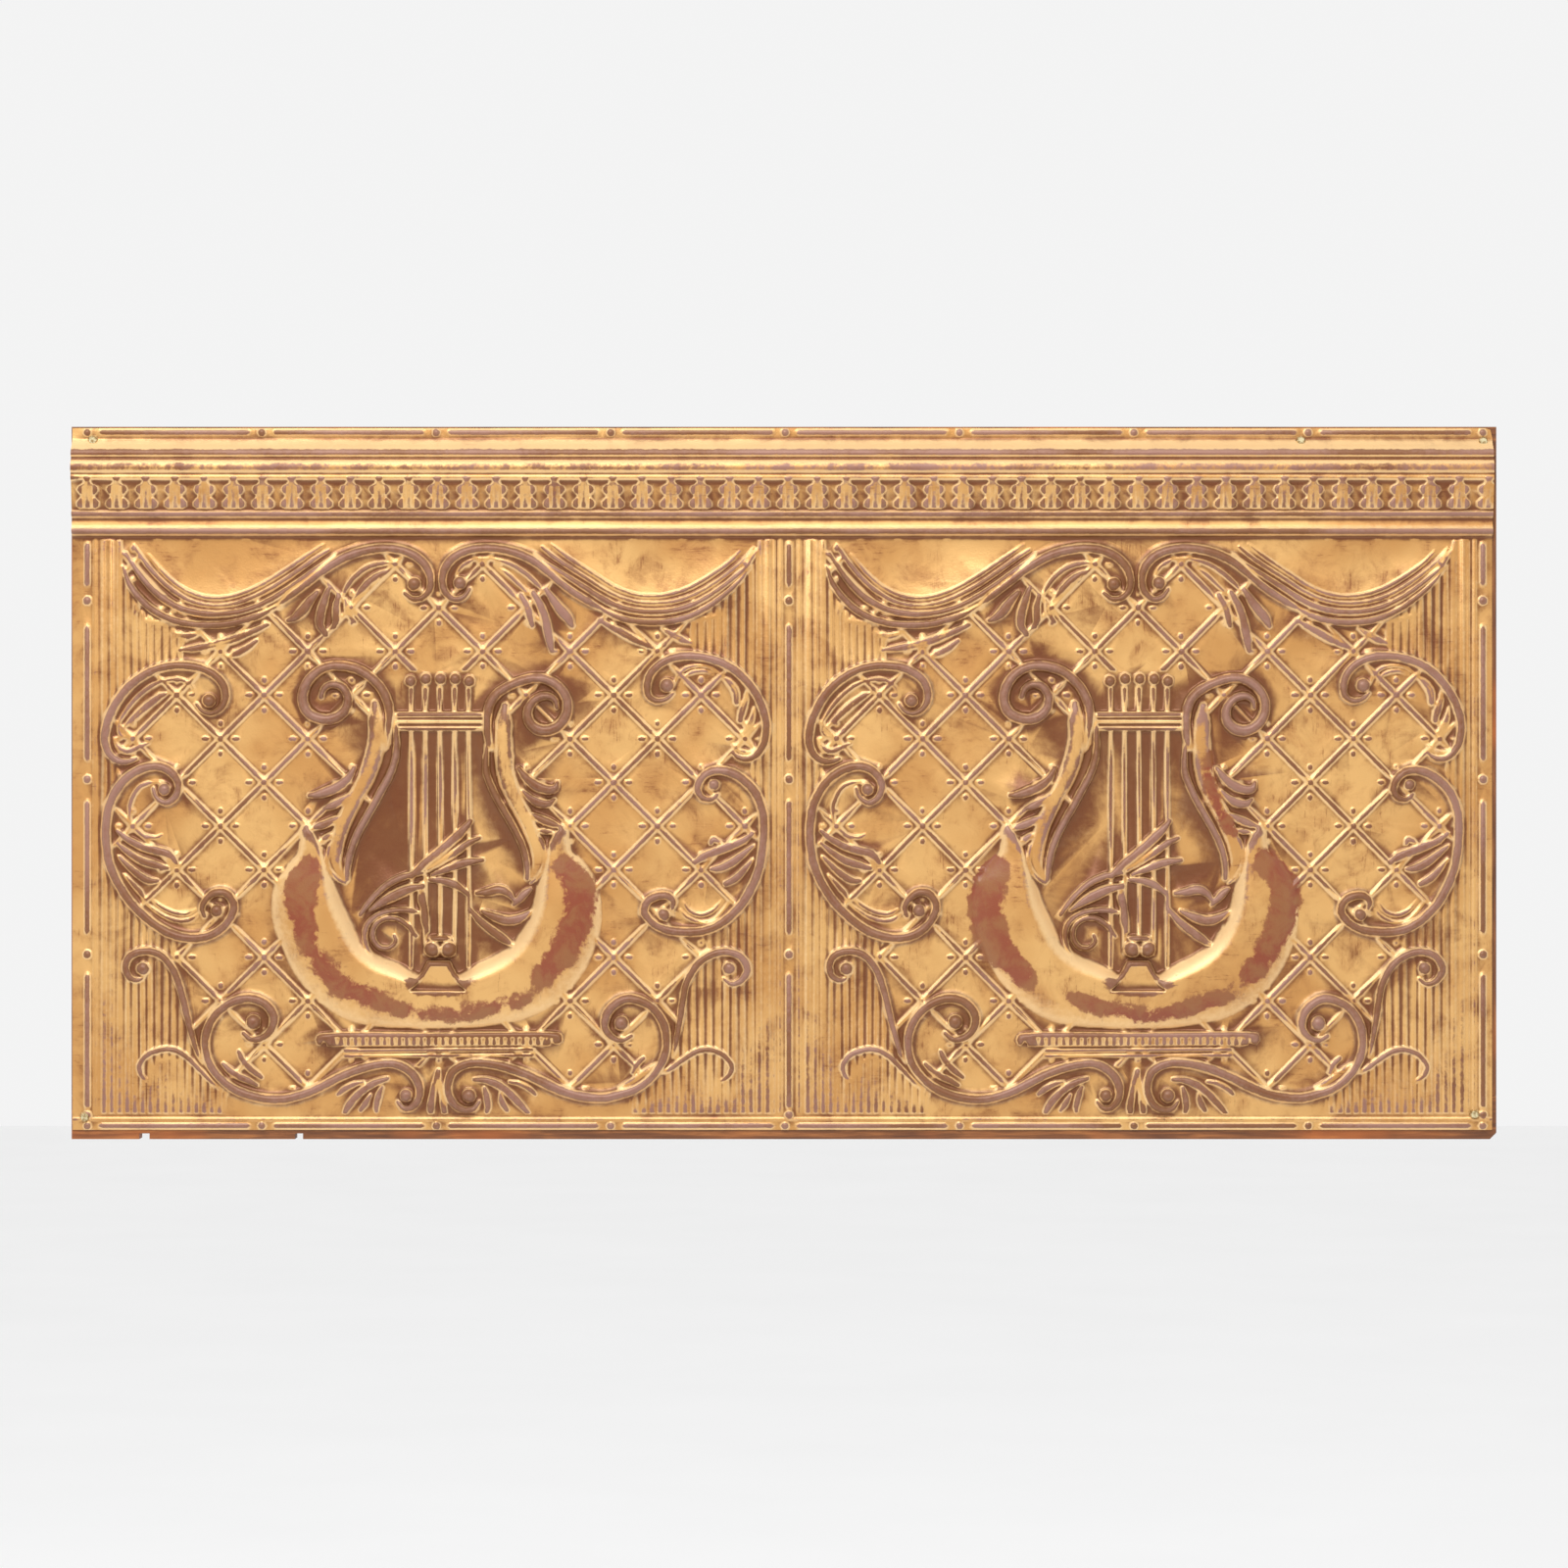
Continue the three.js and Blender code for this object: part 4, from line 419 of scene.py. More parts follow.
class Relief:
    """Heights over a grid, with strokes laid on it. Each stroke keeps the higher of the two."""

    def __init__(self, left, right, bottom, top):
        self.x = np.linspace(left, right, round((right - left) / GRID_STEP) + 1)
        self.y = np.linspace(bottom, top, round((top - bottom) / GRID_STEP) + 1)
        self.height = np.zeros((len(self.y), len(self.x)))

    def window(self, x0, x1, y0, y1):
        columns = slice(*np.searchsorted(self.x, [x0, x1]))
        rows = slice(*np.searchsorted(self.y, [y0, y1]))
        return rows, columns

    def beside(self, path, reach):
        """For the grid points near a path: distance, side, what the path carries, and how far along."""
        reach += GRID_STEP
        low, high = path[:, :2].min(0) - reach, path[:, :2].max(0) + reach
        rows, columns = self.window(low[0], high[0], low[1], high[1])
        xs, ys = self.x[columns], self.y[rows]
        distance = np.full((len(ys), len(xs)), 1e9)
        side = np.zeros_like(distance)
        along = np.zeros_like(distance)
        carried = np.zeros(distance.shape + (path.shape[1] - 2,))
        run = 0.0
        for p, q in zip(path[:-1], path[1:]):
            dx, dy = q[:2] - p[:2]
            length = math.hypot(dx, dy)
            if length == 0:
                continue
            i0, i1 = np.searchsorted(xs, [min(p[0], q[0]) - reach, max(p[0], q[0]) + reach])
            j0, j1 = np.searchsorted(ys, [min(p[1], q[1]) - reach, max(p[1], q[1]) + reach])
            x = xs[None, i0:i1] - p[0]
            y = ys[j0:j1, None] - p[1]
            t = np.clip((x * dx + y * dy) / length ** 2, 0, 1)
            d = np.hypot(x - t * dx, y - t * dy)
            part = (slice(j0, j1), slice(i0, i1))
            hit = d < distance[part]
            distance[part][hit] = d[hit]
            side[part][hit] = np.sign(dx * y - dy * x)[hit]
            along[part][hit] = (run + t * length)[hit]
            carried[part][hit] = (p[2:] + t[..., None] * (q[2:] - p[2:]))[hit]
            run += length
        return (rows, columns), distance, side, carried, along, run

    def raise_to(self, place, heights):
        self.height[place] = np.maximum(self.height[place], heights)

    def rib(self, height, points, flat=2.4, power=0.85, taper=14.0, skirt=0.0):
        path = smooth_curve(points, 2.5)
        place, distance, _, carried, along, run = self.beside(path, path[:, 2].max() * (1 + skirt))
        half = np.maximum(carried[..., 0], 0.3)
        ends = np.clip(np.minimum(along, run - along) / taper, 0, 1)
        top = height * (0.55 + 0.45 * ends)
        shape = top * dome(distance / half, flat, power)
        if skirt:
            shape = np.maximum(shape, 0.3 * top * dome(distance / (half * (1 + skirt)), 1.6, 1.2))
        self.raise_to(place, shape)

    def ball(self, x, y, radius, height):
        place = self.window(x - radius, x + radius, y - radius, y + radius)
        away = np.hypot(self.x[place[1]][None, :] - x, self.y[place[0]][:, None] - y) / radius
        self.raise_to(place, height * np.sqrt(np.clip(1 - away ** 2, 0, None)))

    def leaf(self, height, points, vein=1.2):
        path = smooth_curve(points, 2.0)
        place, distance, _, carried, _, _ = self.beside(path, path[:, 2].max())
        u = distance / np.maximum(carried[..., 0], 0.3)
        shape = height * dome(u, 2.2, 0.75) - vein * np.exp(-(distance / 0.9) ** 2) * (u < 1)
        self.raise_to(place, shape)

    def inside(self, outline):
        x, y = self.x[None, :], self.y[:, None]
        filled = np.zeros(self.height.shape, bool)
        ring = np.asarray(outline, float)
        for (x0, y0), (x1, y1) in zip(ring, np.roll(ring, -1, 0)):
            if y0 != y1:
                filled ^= ((y0 > y) != (y1 > y)) & (x < (x1 - x0) * (y - y0) / (y1 - y0) + x0)
        return filled

    def at(self, values, x, y):
        """Values of a field on this grid, read between its points."""
        i = np.clip((x - self.x[0]) / (self.x[1] - self.x[0]), 0, len(self.x) - 1.001)
        j = np.clip((y - self.y[0]) / (self.y[1] - self.y[0]), 0, len(self.y) - 1.001)
        i0, j0 = i.astype(int), j.astype(int)
        fi, fj = i - i0, j - j0
        return ((values[j0, i0] * (1 - fi) + values[j0, i0 + 1] * fi) * (1 - fj)
                + (values[j0 + 1, i0] * (1 - fi) + values[j0 + 1, i0 + 1] * fi) * fj)


# The ground pattern

LATTICE_PITCH = 38.4
LATTICE_CENTRE = 116.0
REED_LEFT = (-297.5, 6.75)
REED_RIGHT = (292.5, 7.25)


def lay_lattice(relief, keep):
    """Crossed ribs with a pyramid on each crossing and a small stud on each side of it."""
    x, y = relief.x[None, :], relief.y[:, None] - LATTICE_CENTRE
    period = 2 * LATTICE_PITCH
    ribs = np.zeros_like(relief.height)
    for way in (1, -1):
        across = (x - way * y) / period
        away = np.abs(across - np.round(across)) * period / math.sqrt(2)
        along = (x + way * y) / period
        to_crossing = np.abs(along - np.round(along)) * period / math.sqrt(2)
        half = 2.7 + 1.6 * np.exp(-(to_crossing / 7.0) ** 2)
        ribs = np.maximum(ribs, 2.8 * dome(away / half, 2.0, 0.8))
    for i in range(-8, 9):
        for j in range(-10, 4):
            if (i + j) % 2:
                continue
            cx, cy = LATTICE_PITCH * i, LATTICE_CENTRE + LATTICE_PITCH * j
            for dx, dy, rx, ry in ((0, 0, 5, 5), (13.2, 0, 4.6, 2.5), (-13.2, 0, 4.6, 2.5),
                                   (0, 13.2, 2.9, 3.4), (0, -13.2, 2.9, 3.4)):
                place = relief.window(cx + dx - 6, cx + dx + 6, cy + dy - 6, cy + dy + 6)
                u = np.abs(relief.x[place[1]][None, :] - cx - dx) / rx
                v = np.abs(relief.y[place[0]][:, None] - cy - dy) / ry
                middle = dx == 0 and dy == 0
                stud = 4.6 * np.clip(1.15 - u - v, 0, 1) if middle else 2.2 * np.sqrt(np.clip(1 - u * u - v * v, 0, None))
                ribs[place] = np.maximum(ribs[place], stud)
    relief.height = np.where(keep, np.maximum(relief.height, ribs), relief.height)


def lay_reeds(relief, field, start, pitch):
    groove = np.abs(((relief.x[None, :] - start) / pitch) % 1 - 0.5) * 2
    reeds = 2.0 - 2.2 * np.clip((groove - 0.45) / 0.55, 0, 1) ** 1.6
    relief.height = np.where(field, reeds + 0 * relief.height, relief.height)


def lay_ground(relief):
    x, y = relief.x[None, :], relief.y[:, None]
    left, right = relief.inside(LEFT_REEDS), relief.inside(RIGHT_REEDS)
    plain = relief.inside(LEFT_SWAG_FIELD) | relief.inside(RIGHT_SWAG_FIELD) | relief.inside(LYRE_FIELD)
    beyond = (y < -240) | (y > FIELD_TOP) | (np.abs(x) > 294)
    runner_crest = ([p[:2] for p in SCROLLS["left_runner"][1][14:27]] + [(0, -214)]
                    + [p[:2] for p in SCROLLS["right_runner"][1][8:20]])
    below_runner = relief.inside([(-300, -240)] + runner_crest + [(300, -240), (300, -300), (-300, -300)])
    above_crest = relief.inside([(-150, 200), (-116, 214), (-77, 239), (-47, 245), (-11, 229), (0, 205),
                                 (6, 229), (40, 245), (82, 234), (118, 207), (150, 200), (150, 260),
                                 (-150, 260)])
    lay_lattice(relief, ~(left | right | plain | beyond | below_runner | above_crest))
    lay_reeds(relief, left, *REED_LEFT)
    lay_reeds(relief, right, *REED_RIGHT)


# The lyre

BODY_HEIGHT = 13.0
# crest x, y, then how far the body reaches inwards and outwards
LYRE_BODY = [(-112, -6, 4, 12), (-106, -20, 6, 22), (-103.5, -36, 10, 34), (-102.5, -52, 14, 44),
    (-99, -70, 16, 49), (-92, -88, 17, 50), (-83, -105, 17, 50), (-72, -118, 17, 49), (-57, -128, 17, 47),
    (-40, -134, 16, 44), (-20, -139, 12, 40), (0, -141, 8, 38), (20, -139.5, 12, 39), (38, -134.5, 16, 42),
    (55, -127.5, 17, 46), (71, -117, 17, 49), (83, -103.5, 17, 50), (91.5, -87, 17, 50), (96.5, -70, 16, 47),
    (98, -52, 14, 42), (98, -36, 10, 34), (99, -20, 6, 22), (104, -6, 4, 12)]
STRINGS = (-24.4, -12, 0.8, 13.8, 26.0)
FOOT_OUTER = [(-34, -144.5), (-24, -138), (-15, -128), (-9, -117), (9, -117), (15, -128), (24, -138), (33, -144.5)]
FOOT_INNER = [(-24, -143), (-14, -133), (-7, -121), (7, -121), (14, -133), (24, -143)]


def lay_lyre(relief):
    path = smooth_curve(LYRE_BODY, 3.0)
    place, distance, side, carried, along, run = relief.beside(path, 52)
    inwards = side > 0
    u = distance / np.maximum(np.where(inwards, carried[..., 0], carried[..., 1]), 0.5)
    tall = BODY_HEIGHT * np.clip(np.minimum(along, run - along) / 60, 0.35, 1) ** 0.5
    relief.raise_to(place, tall * np.where(inwards, dome(u, 1.6, 1), dome(u, 2, 0.75)))
    for k, x in enumerate(STRINGS):
        outer = k in (0, len(STRINGS) - 1)
        relief.rib(2.8, [(x, -126 if outer else -112, 2.3), (x + 0.4, -40, 2.3), (x, 86, 2.3)], taper=3)
        relief.rib(3.2, [(x, 98, 2.2), (x, 124, 2.2)], taper=3)
        relief.ball(x + (0.6 if k else -0.6), 128.3 if outer else 130.3, 5.2, 6.0)
    for y, half, height in ((98.6, 3.2, 6.0), (92.6, 2.8, 5.6), (87.0, 2.8, 5.2)):
        relief.rib(height, [(-38, y, half), (40, y, half)], taper=2)
    for name, (height, points) in LYRE_BANDS.items():
        arm = "arm" in name
        relief.rib(height, points, flat=3.0 if arm else 2.4, power=0.6 if arm else 0.85)


def lay_foot(relief):
    """The pedestal under the strings, the knot on it, and the two bars that the lyre stands on."""
    relief.height = np.where(relief.inside(FOOT_OUTER), np.maximum(relief.height, 9.0), relief.height)
    relief.height = np.where(relief.inside(FOOT_INNER), 7.6, relief.height)
    relief.rib(10, [(-35, -145.5, 1.8), (34, -145.5, 1.8)], taper=3)
    relief.ball(-5, -107, 8, 10.5)
    relief.ball(8, -107, 8, 10.5)
    relief.rib(8.5, [(-7, -98, 3), (9, -98, 3)], taper=2)
    relief.rib(6.0, [(-101, -187.5, 2.5), (-94, -186.5, 6.6), (0, -186.3, 6.6), (96, -185.6, 6.6), (99, -185.6, 4)],
               flat=6, power=0.8, taper=2)
    x, y = relief.x[None, :], relief.y[:, None]
    bead = (np.abs(y + 187.8) < 3.4) & (x > -92) & (x < 96)
    beads = 4.6 + 1.6 * np.clip(np.cos((x + 92) * 2 * np.pi / 6.4), -0.4, 1) + 0 * y
    relief.height = np.where(bead, beads, relief.height)
    relief.rib(5.0, [(-84, -196.4, 2.2), (84, -195.2, 2.2)], taper=2)
    relief.rib(4.0, [(-84, -201.0, 2.2), (84, -200.2, 2.2)], taper=2)


def lay_motif(relief):
    lay_ground(relief)
    lay_lyre(relief)
    for height, points in LEAVES.values():
        relief.leaf(height, points)
    for height, points in SPRAY_STEMS.values():
        relief.rib(height, points)
    for height, points in SPRAY.values():
        relief.leaf(height, points)
    lay_foot(relief)
    for folds in (LEFT_SWAG, RIGHT_SWAG):
        for height, points in folds.values():
            relief.rib(height, points, taper=25)
    for height, points in SCROLL_LINES.values():
        relief.rib(height, points)
    for height, points in SCROLLS.values():
        relief.rib(height, points, skirt=0.9)
    for eye in SCROLL_EYES:
        relief.ball(*eye)


# The borders

LEAF_UNIT = 25.6
LEAF_UNIT_MIDDLE = -303.7
# half width of a leaf of the band, by height on the drawing
BAND_LEAF = [(279.5, 7.5), (281.5, 10.2), (285, 10.4), (288, 8.2), (290.5, 6.6), (293, 8.0), (296, 9.6),
             (299, 8.6), (301, 5.4), (304, 3.6), (308, 3.4)]
RAIL_XS = (-612.3, 4.3, 614.2)
RAIL_DASHES = ((249, 213), (176, 59.5), (22, -93), (-130, -246.5))
RAIL_BUTTONS = (199, 42, -112, -253)
TOP_DASH, BOTTOM_DASH = 346.6, -262.4
BUTTON_SPACING, BUTTON_CLEARANCE = 153.3, 11.0
BORDER_XS = (-605.3, -3.3, 13.3, 606.9)


def lay_cornice(sheet):
    heights = np.array(CORNICE)[::-1]
    above = sheet.y > FIELD_TOP
    profile = np.interp(sheet.y, heights[:, 0], heights[:, 1])
    sheet.height[above] = profile[above][:, None]
    rows = slice(*np.searchsorted(sheet.y, [279, 308]))
    y = sheet.y[rows][:, None]
    half = np.interp(sheet.y[rows], *np.array(BAND_LEAF).T)[:, None]
    unit = (sheet.x - LEAF_UNIT_MIDDLE) / LEAF_UNIT
    away = (np.abs(unit - np.round(unit)) * LEAF_UNIT)[None, :]
    edge = np.clip((half - away) / 2.2, 0, 1)
    leaf = 3.6 * (1 - (1 - edge) ** 2)
    leaf = leaf - 1.3 * np.exp(-((away - 3.6) / 1.1) ** 2) * (y < 299)
    leaf = leaf - 0.9 * np.exp(-((y - 290.5) / 1.3) ** 2) * (away > 3)
    sheet.height[rows] += np.maximum(leaf, 0) * np.clip((308 - y) / 5, 0, 1)


def lay_rails(sheet):
    def dash(start, end, half=3.1, height=3.0):
        sheet.rib(height, [(*start, half), (*end, half)], flat=3, taper=2)

    for x in RAIL_XS:
        for high, low in RAIL_DASHES:
            dash((x, high), (x, low))
        for y in RAIL_BUTTONS:
            sheet.ball(x, y, 4.2, 3.4)
    for y in (TOP_DASH, BOTTOM_DASH):
        for k in range(9):
            x = RAIL_XS[0] + BUTTON_SPACING * k
            sheet.ball(x, y, 3.8, 3.4)
            if k < 8:
                dash((x + BUTTON_CLEARANCE, y), (x + BUTTON_SPACING - BUTTON_CLEARANCE, y), 2.9, 2.8)
    for x in BORDER_XS:
        sheet.rib(1.6, [(x, FIELD_BOTTOM, 2.4), (x, FIELD_TOP, 2.4)], taper=1)
    sheet.rib(1.8, [(LEFT, -256.8, 1.6), (RIGHT, -256.8, 1.6)], taper=1)


def pressed_sheet():
    motif = Relief(-309, 309, FIELD_BOTTOM, FIELD_TOP)
    lay_motif(motif)
    sheet = Relief(LEFT, RIGHT, BOTTOM, TOP)
    field = slice(*np.searchsorted(sheet.y, [FIELD_BOTTOM, FIELD_TOP]))
    for middle, stretch in REPEATS:
        a = (sheet.x - middle) / stretch
        columns = np.abs(a) < 309
        grid = np.meshgrid(a[columns], sheet.y[field])
        pressed = motif.at(motif.height, *grid)
        sheet.height[field, columns] = np.maximum(sheet.height[field, columns], pressed)
    lay_cornice(sheet)
    lay_rails(sheet)
    sheet.height = blurred(sheet.height, 0.7)
    return sheet


# The shell: a front and a back skin, thinned where they are plain, sewn along the sheet's edge

FRONT_TRIANGLES = 140_000
BACK_TRIANGLES = 46_000
CORNER_RADIUS = 5.0


def skin(sheet, heights, triangles, step=1):
    """A triangle mesh of the heights, with few triangles where they are plain: points and triangles."""
    xs, ys = sheet.x[::step], sheet.y[::step]
    if xs[-1] != sheet.x[-1]:
        xs = np.append(xs, sheet.x[-1])
    if ys[-1] != sheet.y[-1]:
        ys = np.append(ys, sheet.y[-1])
    gx, gy = np.meshgrid(xs, ys)
    points = np.stack([gx, gy, sheet.at(heights, gx, gy)], -1).reshape(-1, 3)
    wide, tall = len(xs), len(ys)
    corner = (np.arange(tall - 1)[:, None] * wide + np.arange(wide - 1)[None, :]).ravel()
    quads = np.stack([corner, corner + 1, corner + wide + 1, corner + wide], 1)
    mesh = bpy.data.meshes.new("skin")
    mesh.vertices.add(len(points))
    mesh.vertices.foreach_set("co", points.astype(np.float32).ravel())
    mesh.loops.add(quads.size)
    mesh.loops.foreach_set("vertex_index", quads.astype(np.int32).ravel())
    mesh.polygons.add(len(quads))
    mesh.polygons.foreach_set("loop_start", (np.arange(len(quads)) * 4).astype(np.int32))
    mesh.update(calc_edges=True)
    holder = bpy.data.objects.new("skin", mesh)
    bpy.context.scene.collection.objects.link(holder)
    thin = holder.modifiers.new("thin", "DECIMATE")
    thin.ratio = triangles / (2 * len(quads))
    thin.use_collapse_triangulate = True
    evaluated = holder.evaluated_get(bpy.context.evaluated_depsgraph_get())
    thinned = bpy.data.meshes.new_from_object(evaluated)
    bpy.data.objects.remove(holder)
    bpy.data.meshes.remove(mesh)
    co = np.empty(len(thinned.vertices) * 3, np.float32)
    thinned.vertices.foreach_get("co", co)
    corners = np.empty(len(thinned.loops), np.int32)
    thinned.loops.foreach_get("vertex_index", corners)
    bpy.data.meshes.remove(thinned)
    return co.reshape(-1, 3).astype(float), corners.reshape(-1, 3)


def on_the_sheets_edge(points):
    """Points drawn to the sheet's edge where they lie within a grid step of it."""
    for axis, low, high in ((0, LEFT, RIGHT), (1, BOTTOM, TOP)):
        for line in (low, high):
            near = np.abs(points[:, axis] - line) < 0.3 * GRID_STEP
            points[near, axis] = line
    return points


def rim(points, triangles):
    """The vertices round a skin's edge, counter-clockwise, and how far round each one lies."""
    edges = np.vstack([triangles[:, [0, 1]], triangles[:, [1, 2]], triangles[:, [2, 0]]]).astype(np.int64)
    count = len(points)
    lone = edges[~np.isin(edges[:, 0] * count + edges[:, 1], edges[:, 1] * count + edges[:, 0])]
    following = dict(lone.tolist())
    order = [lone[0, 0]]
    while following[order[-1]] != order[0]:
        order.append(following[order[-1]])
    order = np.array(order)
    x, y = points[order, 0], points[order, 1]
    wide, tall = RIGHT - LEFT, TOP - BOTTOM
    gaps = np.stack([y - BOTTOM, RIGHT - x, TOP - y, x - LEFT])
    side = gaps.argmin(0)
    run = np.choose(side, [x - LEFT, wide + y - BOTTOM, wide + tall + RIGHT - x, 2 * wide + tall + TOP - y])
    start = run.argmin()
    return np.roll(order, -start), np.roll(run, -start)


def sewn(front, front_run, back, back_run):
    """Triangles between two rims that run the same way round."""
    triangles = []
    i = j = 0
    whole = 2 * (RIGHT - LEFT + TOP - BOTTOM)
    front, back = np.append(front, front[0]), np.append(back, back[0])
    front_run, back_run = np.append(front_run, whole), np.append(back_run, whole)
    while i + 1 < len(front) or j + 1 < len(back):
        step_front = j + 1 == len(back) or (i + 1 < len(front) and front_run[i + 1] <= back_run[j + 1])
        if step_front:
            triangles.append((front[i], back[j], front[i + 1]))
            i += 1
        else:
            triangles.append((front[i], back[j], back[j + 1]))
            j += 1
    return np.array(triangles)


def lowest_nearby(heights, reach):
    for axis in (0, 1):
        wide = np.pad(heights, [(reach, reach) if k == axis else (0, 0) for k in (0, 1)], "edge")
        size = heights.shape[axis]
        heights = np.min([np.take(wide, range(i, i + size), axis) for i in range(2 * reach + 1)], axis=0)
    return heights


def behind(sheet, points, triangles, clearance=0.25):
    """Lowers the back skin's points until no triangle comes through the front."""
    shares = np.array([(1, 1, 1), (2, 1, 1), (1, 2, 1), (1, 1, 2), (1, 1, 0), (0, 1, 1), (1, 0, 1)], float)
    shares /= shares.sum(1, keepdims=True)
    for _ in range(3):
        for share in shares:
            spot = np.einsum("k,nkc->nc", share, points[triangles])
            over = spot[:, 2] + clearance - sheet.at(sheet.height, spot[:, 0], spot[:, 1])
            high = over > 0
            drop = np.zeros(len(points))
            np.maximum.at(drop, triangles[high].ravel(), np.repeat(over[high], 3))
            points[:, 2] -= drop
    return points


def rounded_corner(points):
    """The sheet's top right corner is worn round."""
    centre = np.array([RIGHT - CORNER_RADIUS, TOP - CORNER_RADIUS])
    u = (points[:, :2] - centre) / CORNER_RADIUS
    inside = (u > 0).all(1)
    shrink = u[inside].max(1) / np.hypot(*u[inside].T)
    points[inside, :2] = centre + u[inside] * shrink[:, None] * CORNER_RADIUS
    return points


def standing(points):
    """From the drawing to the frame's own axes, in metres."""
    return np.stack([points[:, 0], -(GROUND + points[:, 2]), points[:, 1] - DRAWING_DROP], 1) * MM


def facing(sheet, heights, points):
    """The surface's own normals, from the slopes of the fine heights."""
    rise_y, rise_x = np.gradient(heights, sheet.y[1] - sheet.y[0], sheet.x[1] - sheet.x[0])
    normals = np.stack([-sheet.at(rise_x, points[:, 0], points[:, 1]), -np.ones(len(points)),
                        -sheet.at(rise_y, points[:, 0], points[:, 1])], 1)
    return normals / np.linalg.norm(normals, axis=1, keepdims=True)


def mesh_of(name, points, triangles):
    mesh = bpy.data.meshes.new(name)
    mesh.vertices.add(len(points))
    mesh.vertices.foreach_set("co", points.astype(np.float32).ravel())
    mesh.loops.add(triangles.size)
    mesh.loops.foreach_set("vertex_index", triangles.astype(np.int32).ravel())
    mesh.polygons.add(len(triangles))
    mesh.polygons.foreach_set("loop_start", (np.arange(len(triangles)) * 3).astype(np.int32))
    mesh.update(calc_edges=True)
    return mesh


def tin_shell(sheet, masks):
    front, front_faces = skin(sheet, sheet.height, FRONT_TRIANGLES)
    inner = lowest_nearby(blurred(sheet.height, 1.0), 1)
    back, back_faces = skin(sheet, inner, BACK_TRIANGLES, step=2)
    back[:, 2] -= SHEET_THICKNESS
    back = behind(sheet, back, back_faces)
    front, back = on_the_sheets_edge(front), on_the_sheets_edge(back)
    front_rim, back_rim = rim(front, front_faces), rim(back, back_faces)
    edge_faces = sewn(front_rim[0], front_rim[1], back_rim[0] + len(front), back_rim[1])
    normals = np.vstack([facing(sheet, sheet.height, front), -facing(sheet, inner, back)])
    points = rounded_corner(np.vstack([front, back]))
    faces = np.vstack([front_faces, back_faces[:, ::-1] + len(front), edge_faces])
    mesh = mesh_of("gilt_sheet", standing(points), faces)
    for name, values in masks.items():
        layer = mesh.attributes.new(name, "FLOAT", "POINT")
        read = np.zeros(len(points))
        read[:len(front)] = sheet.at(values, front[:, 0], front[:, 1])
        layer.data.foreach_set("value", read.astype(np.float32))
    plain = len(front_faces) + len(back_faces)
    material_index = np.ones(len(faces), np.int32)
    material_index[:len(front_faces)] = 0
    mesh.polygons.foreach_set("material_index", material_index)
    mesh.polygons.foreach_set("use_smooth", np.ones(len(faces), bool))
    corner_normals = normals[faces]
    flat = np.cross(*(standing(points)[faces[plain:, k]] - standing(points)[faces[plain:, 0]] for k in (1, 2)))
    corner_normals[plain:] = (flat / np.maximum(np.linalg.norm(flat, axis=1, keepdims=True), 1e-12))[:, None]
    mesh.normals_split_custom_set(corner_normals.reshape(-1, 3))
    piece = bpy.data.objects.new("gilt_sheet", mesh)
    bpy.context.scene.collection.objects.link(piece)
    return piece


# Where the sheet is worn, and where painted highlight and painted shade go: masks from 0 to 1 over the same grid

# Rubbed down to the red primer: depth of wear, then x, y and half width
RUBBED = [
    (1.0, [(-413, -28, 14), (-424, -58, 24), (-420, -98, 16)]),
    (0.8, [(-420, -100, 16), (-392, -136, 20), (-352, -152, 18)]),
    (0.9, [(-196, -28, 16), (-180, -60, 26), (-188, -98, 24), (-216, -136, 18)]),
    (0.7, [(-372, -152, 14), (-300, -164, 16), (-222, -150, 14)]),
    (1.0, [(190, -28, 16), (177, -60, 26), (184, -98, 22), (214, -136, 18)]),
    (0.9, [(418, -22, 16), (441, -55, 24), (432, -95, 22), (404, -136, 18)]),
    (0.8, [(250, -150, 14), (320, -166, 14), (390, -148, 14)]),
    (0.8, [(372, 70, 10), (376, 30, 12), (396, -10, 12)]),
]


def wear_and_painted_light_masks(sheet):
    height = sheet.height
    near, far = blurred(height, 3.0), blurred(height, 6.0)
    rise_y, rise_x = np.gradient(blurred(height, 0.6))
    masks = {
        "crest": np.clip((height - near) / 1.4, 0, 1),
        # hollow: where dark brown goes, antique glaze together with painted shade at the feet of the ribs
        "hollow": np.clip((near - height) / 1.2, 0, 1),
        # slope: where the cream painted highlight goes on the gilt
        "slope": np.clip(np.hypot(rise_x, rise_y) / 0.9, 0, 1),
        "swell": np.clip((height - far) / 3.0, 0, 1),
    }
    rubbed = Relief(LEFT, RIGHT, BOTTOM, TOP)
    for depth, points in RUBBED:
        rubbed.rib(depth, points, flat=2, power=1.2, taper=1)
    masks["rubbed"] = blurred(rubbed.height, 3.0)
    return masks


# Finishes

def paint(red, green, blue):
    """A colour as a screen shows it, in the linear numbers that shaders take."""
    return tuple(((c / 255 + 0.055) / 1.055) ** 2.4 if c > 10 else c / 255 / 12.92 for c in (red, green, blue)) + (1.0,)


HIGHLIGHT_CREAM = paint(240, 204, 150)
LIGHT_GOLD = paint(216, 168, 102)
GOLD = paint(194, 140, 76)
TAN = paint(168, 112, 58)
BROWN = paint(135, 79, 36)
DARK_BROWN = paint(104, 48, 14)
PRIMER_RED = paint(124, 40, 8)
MAUVE = paint(140, 98, 88)


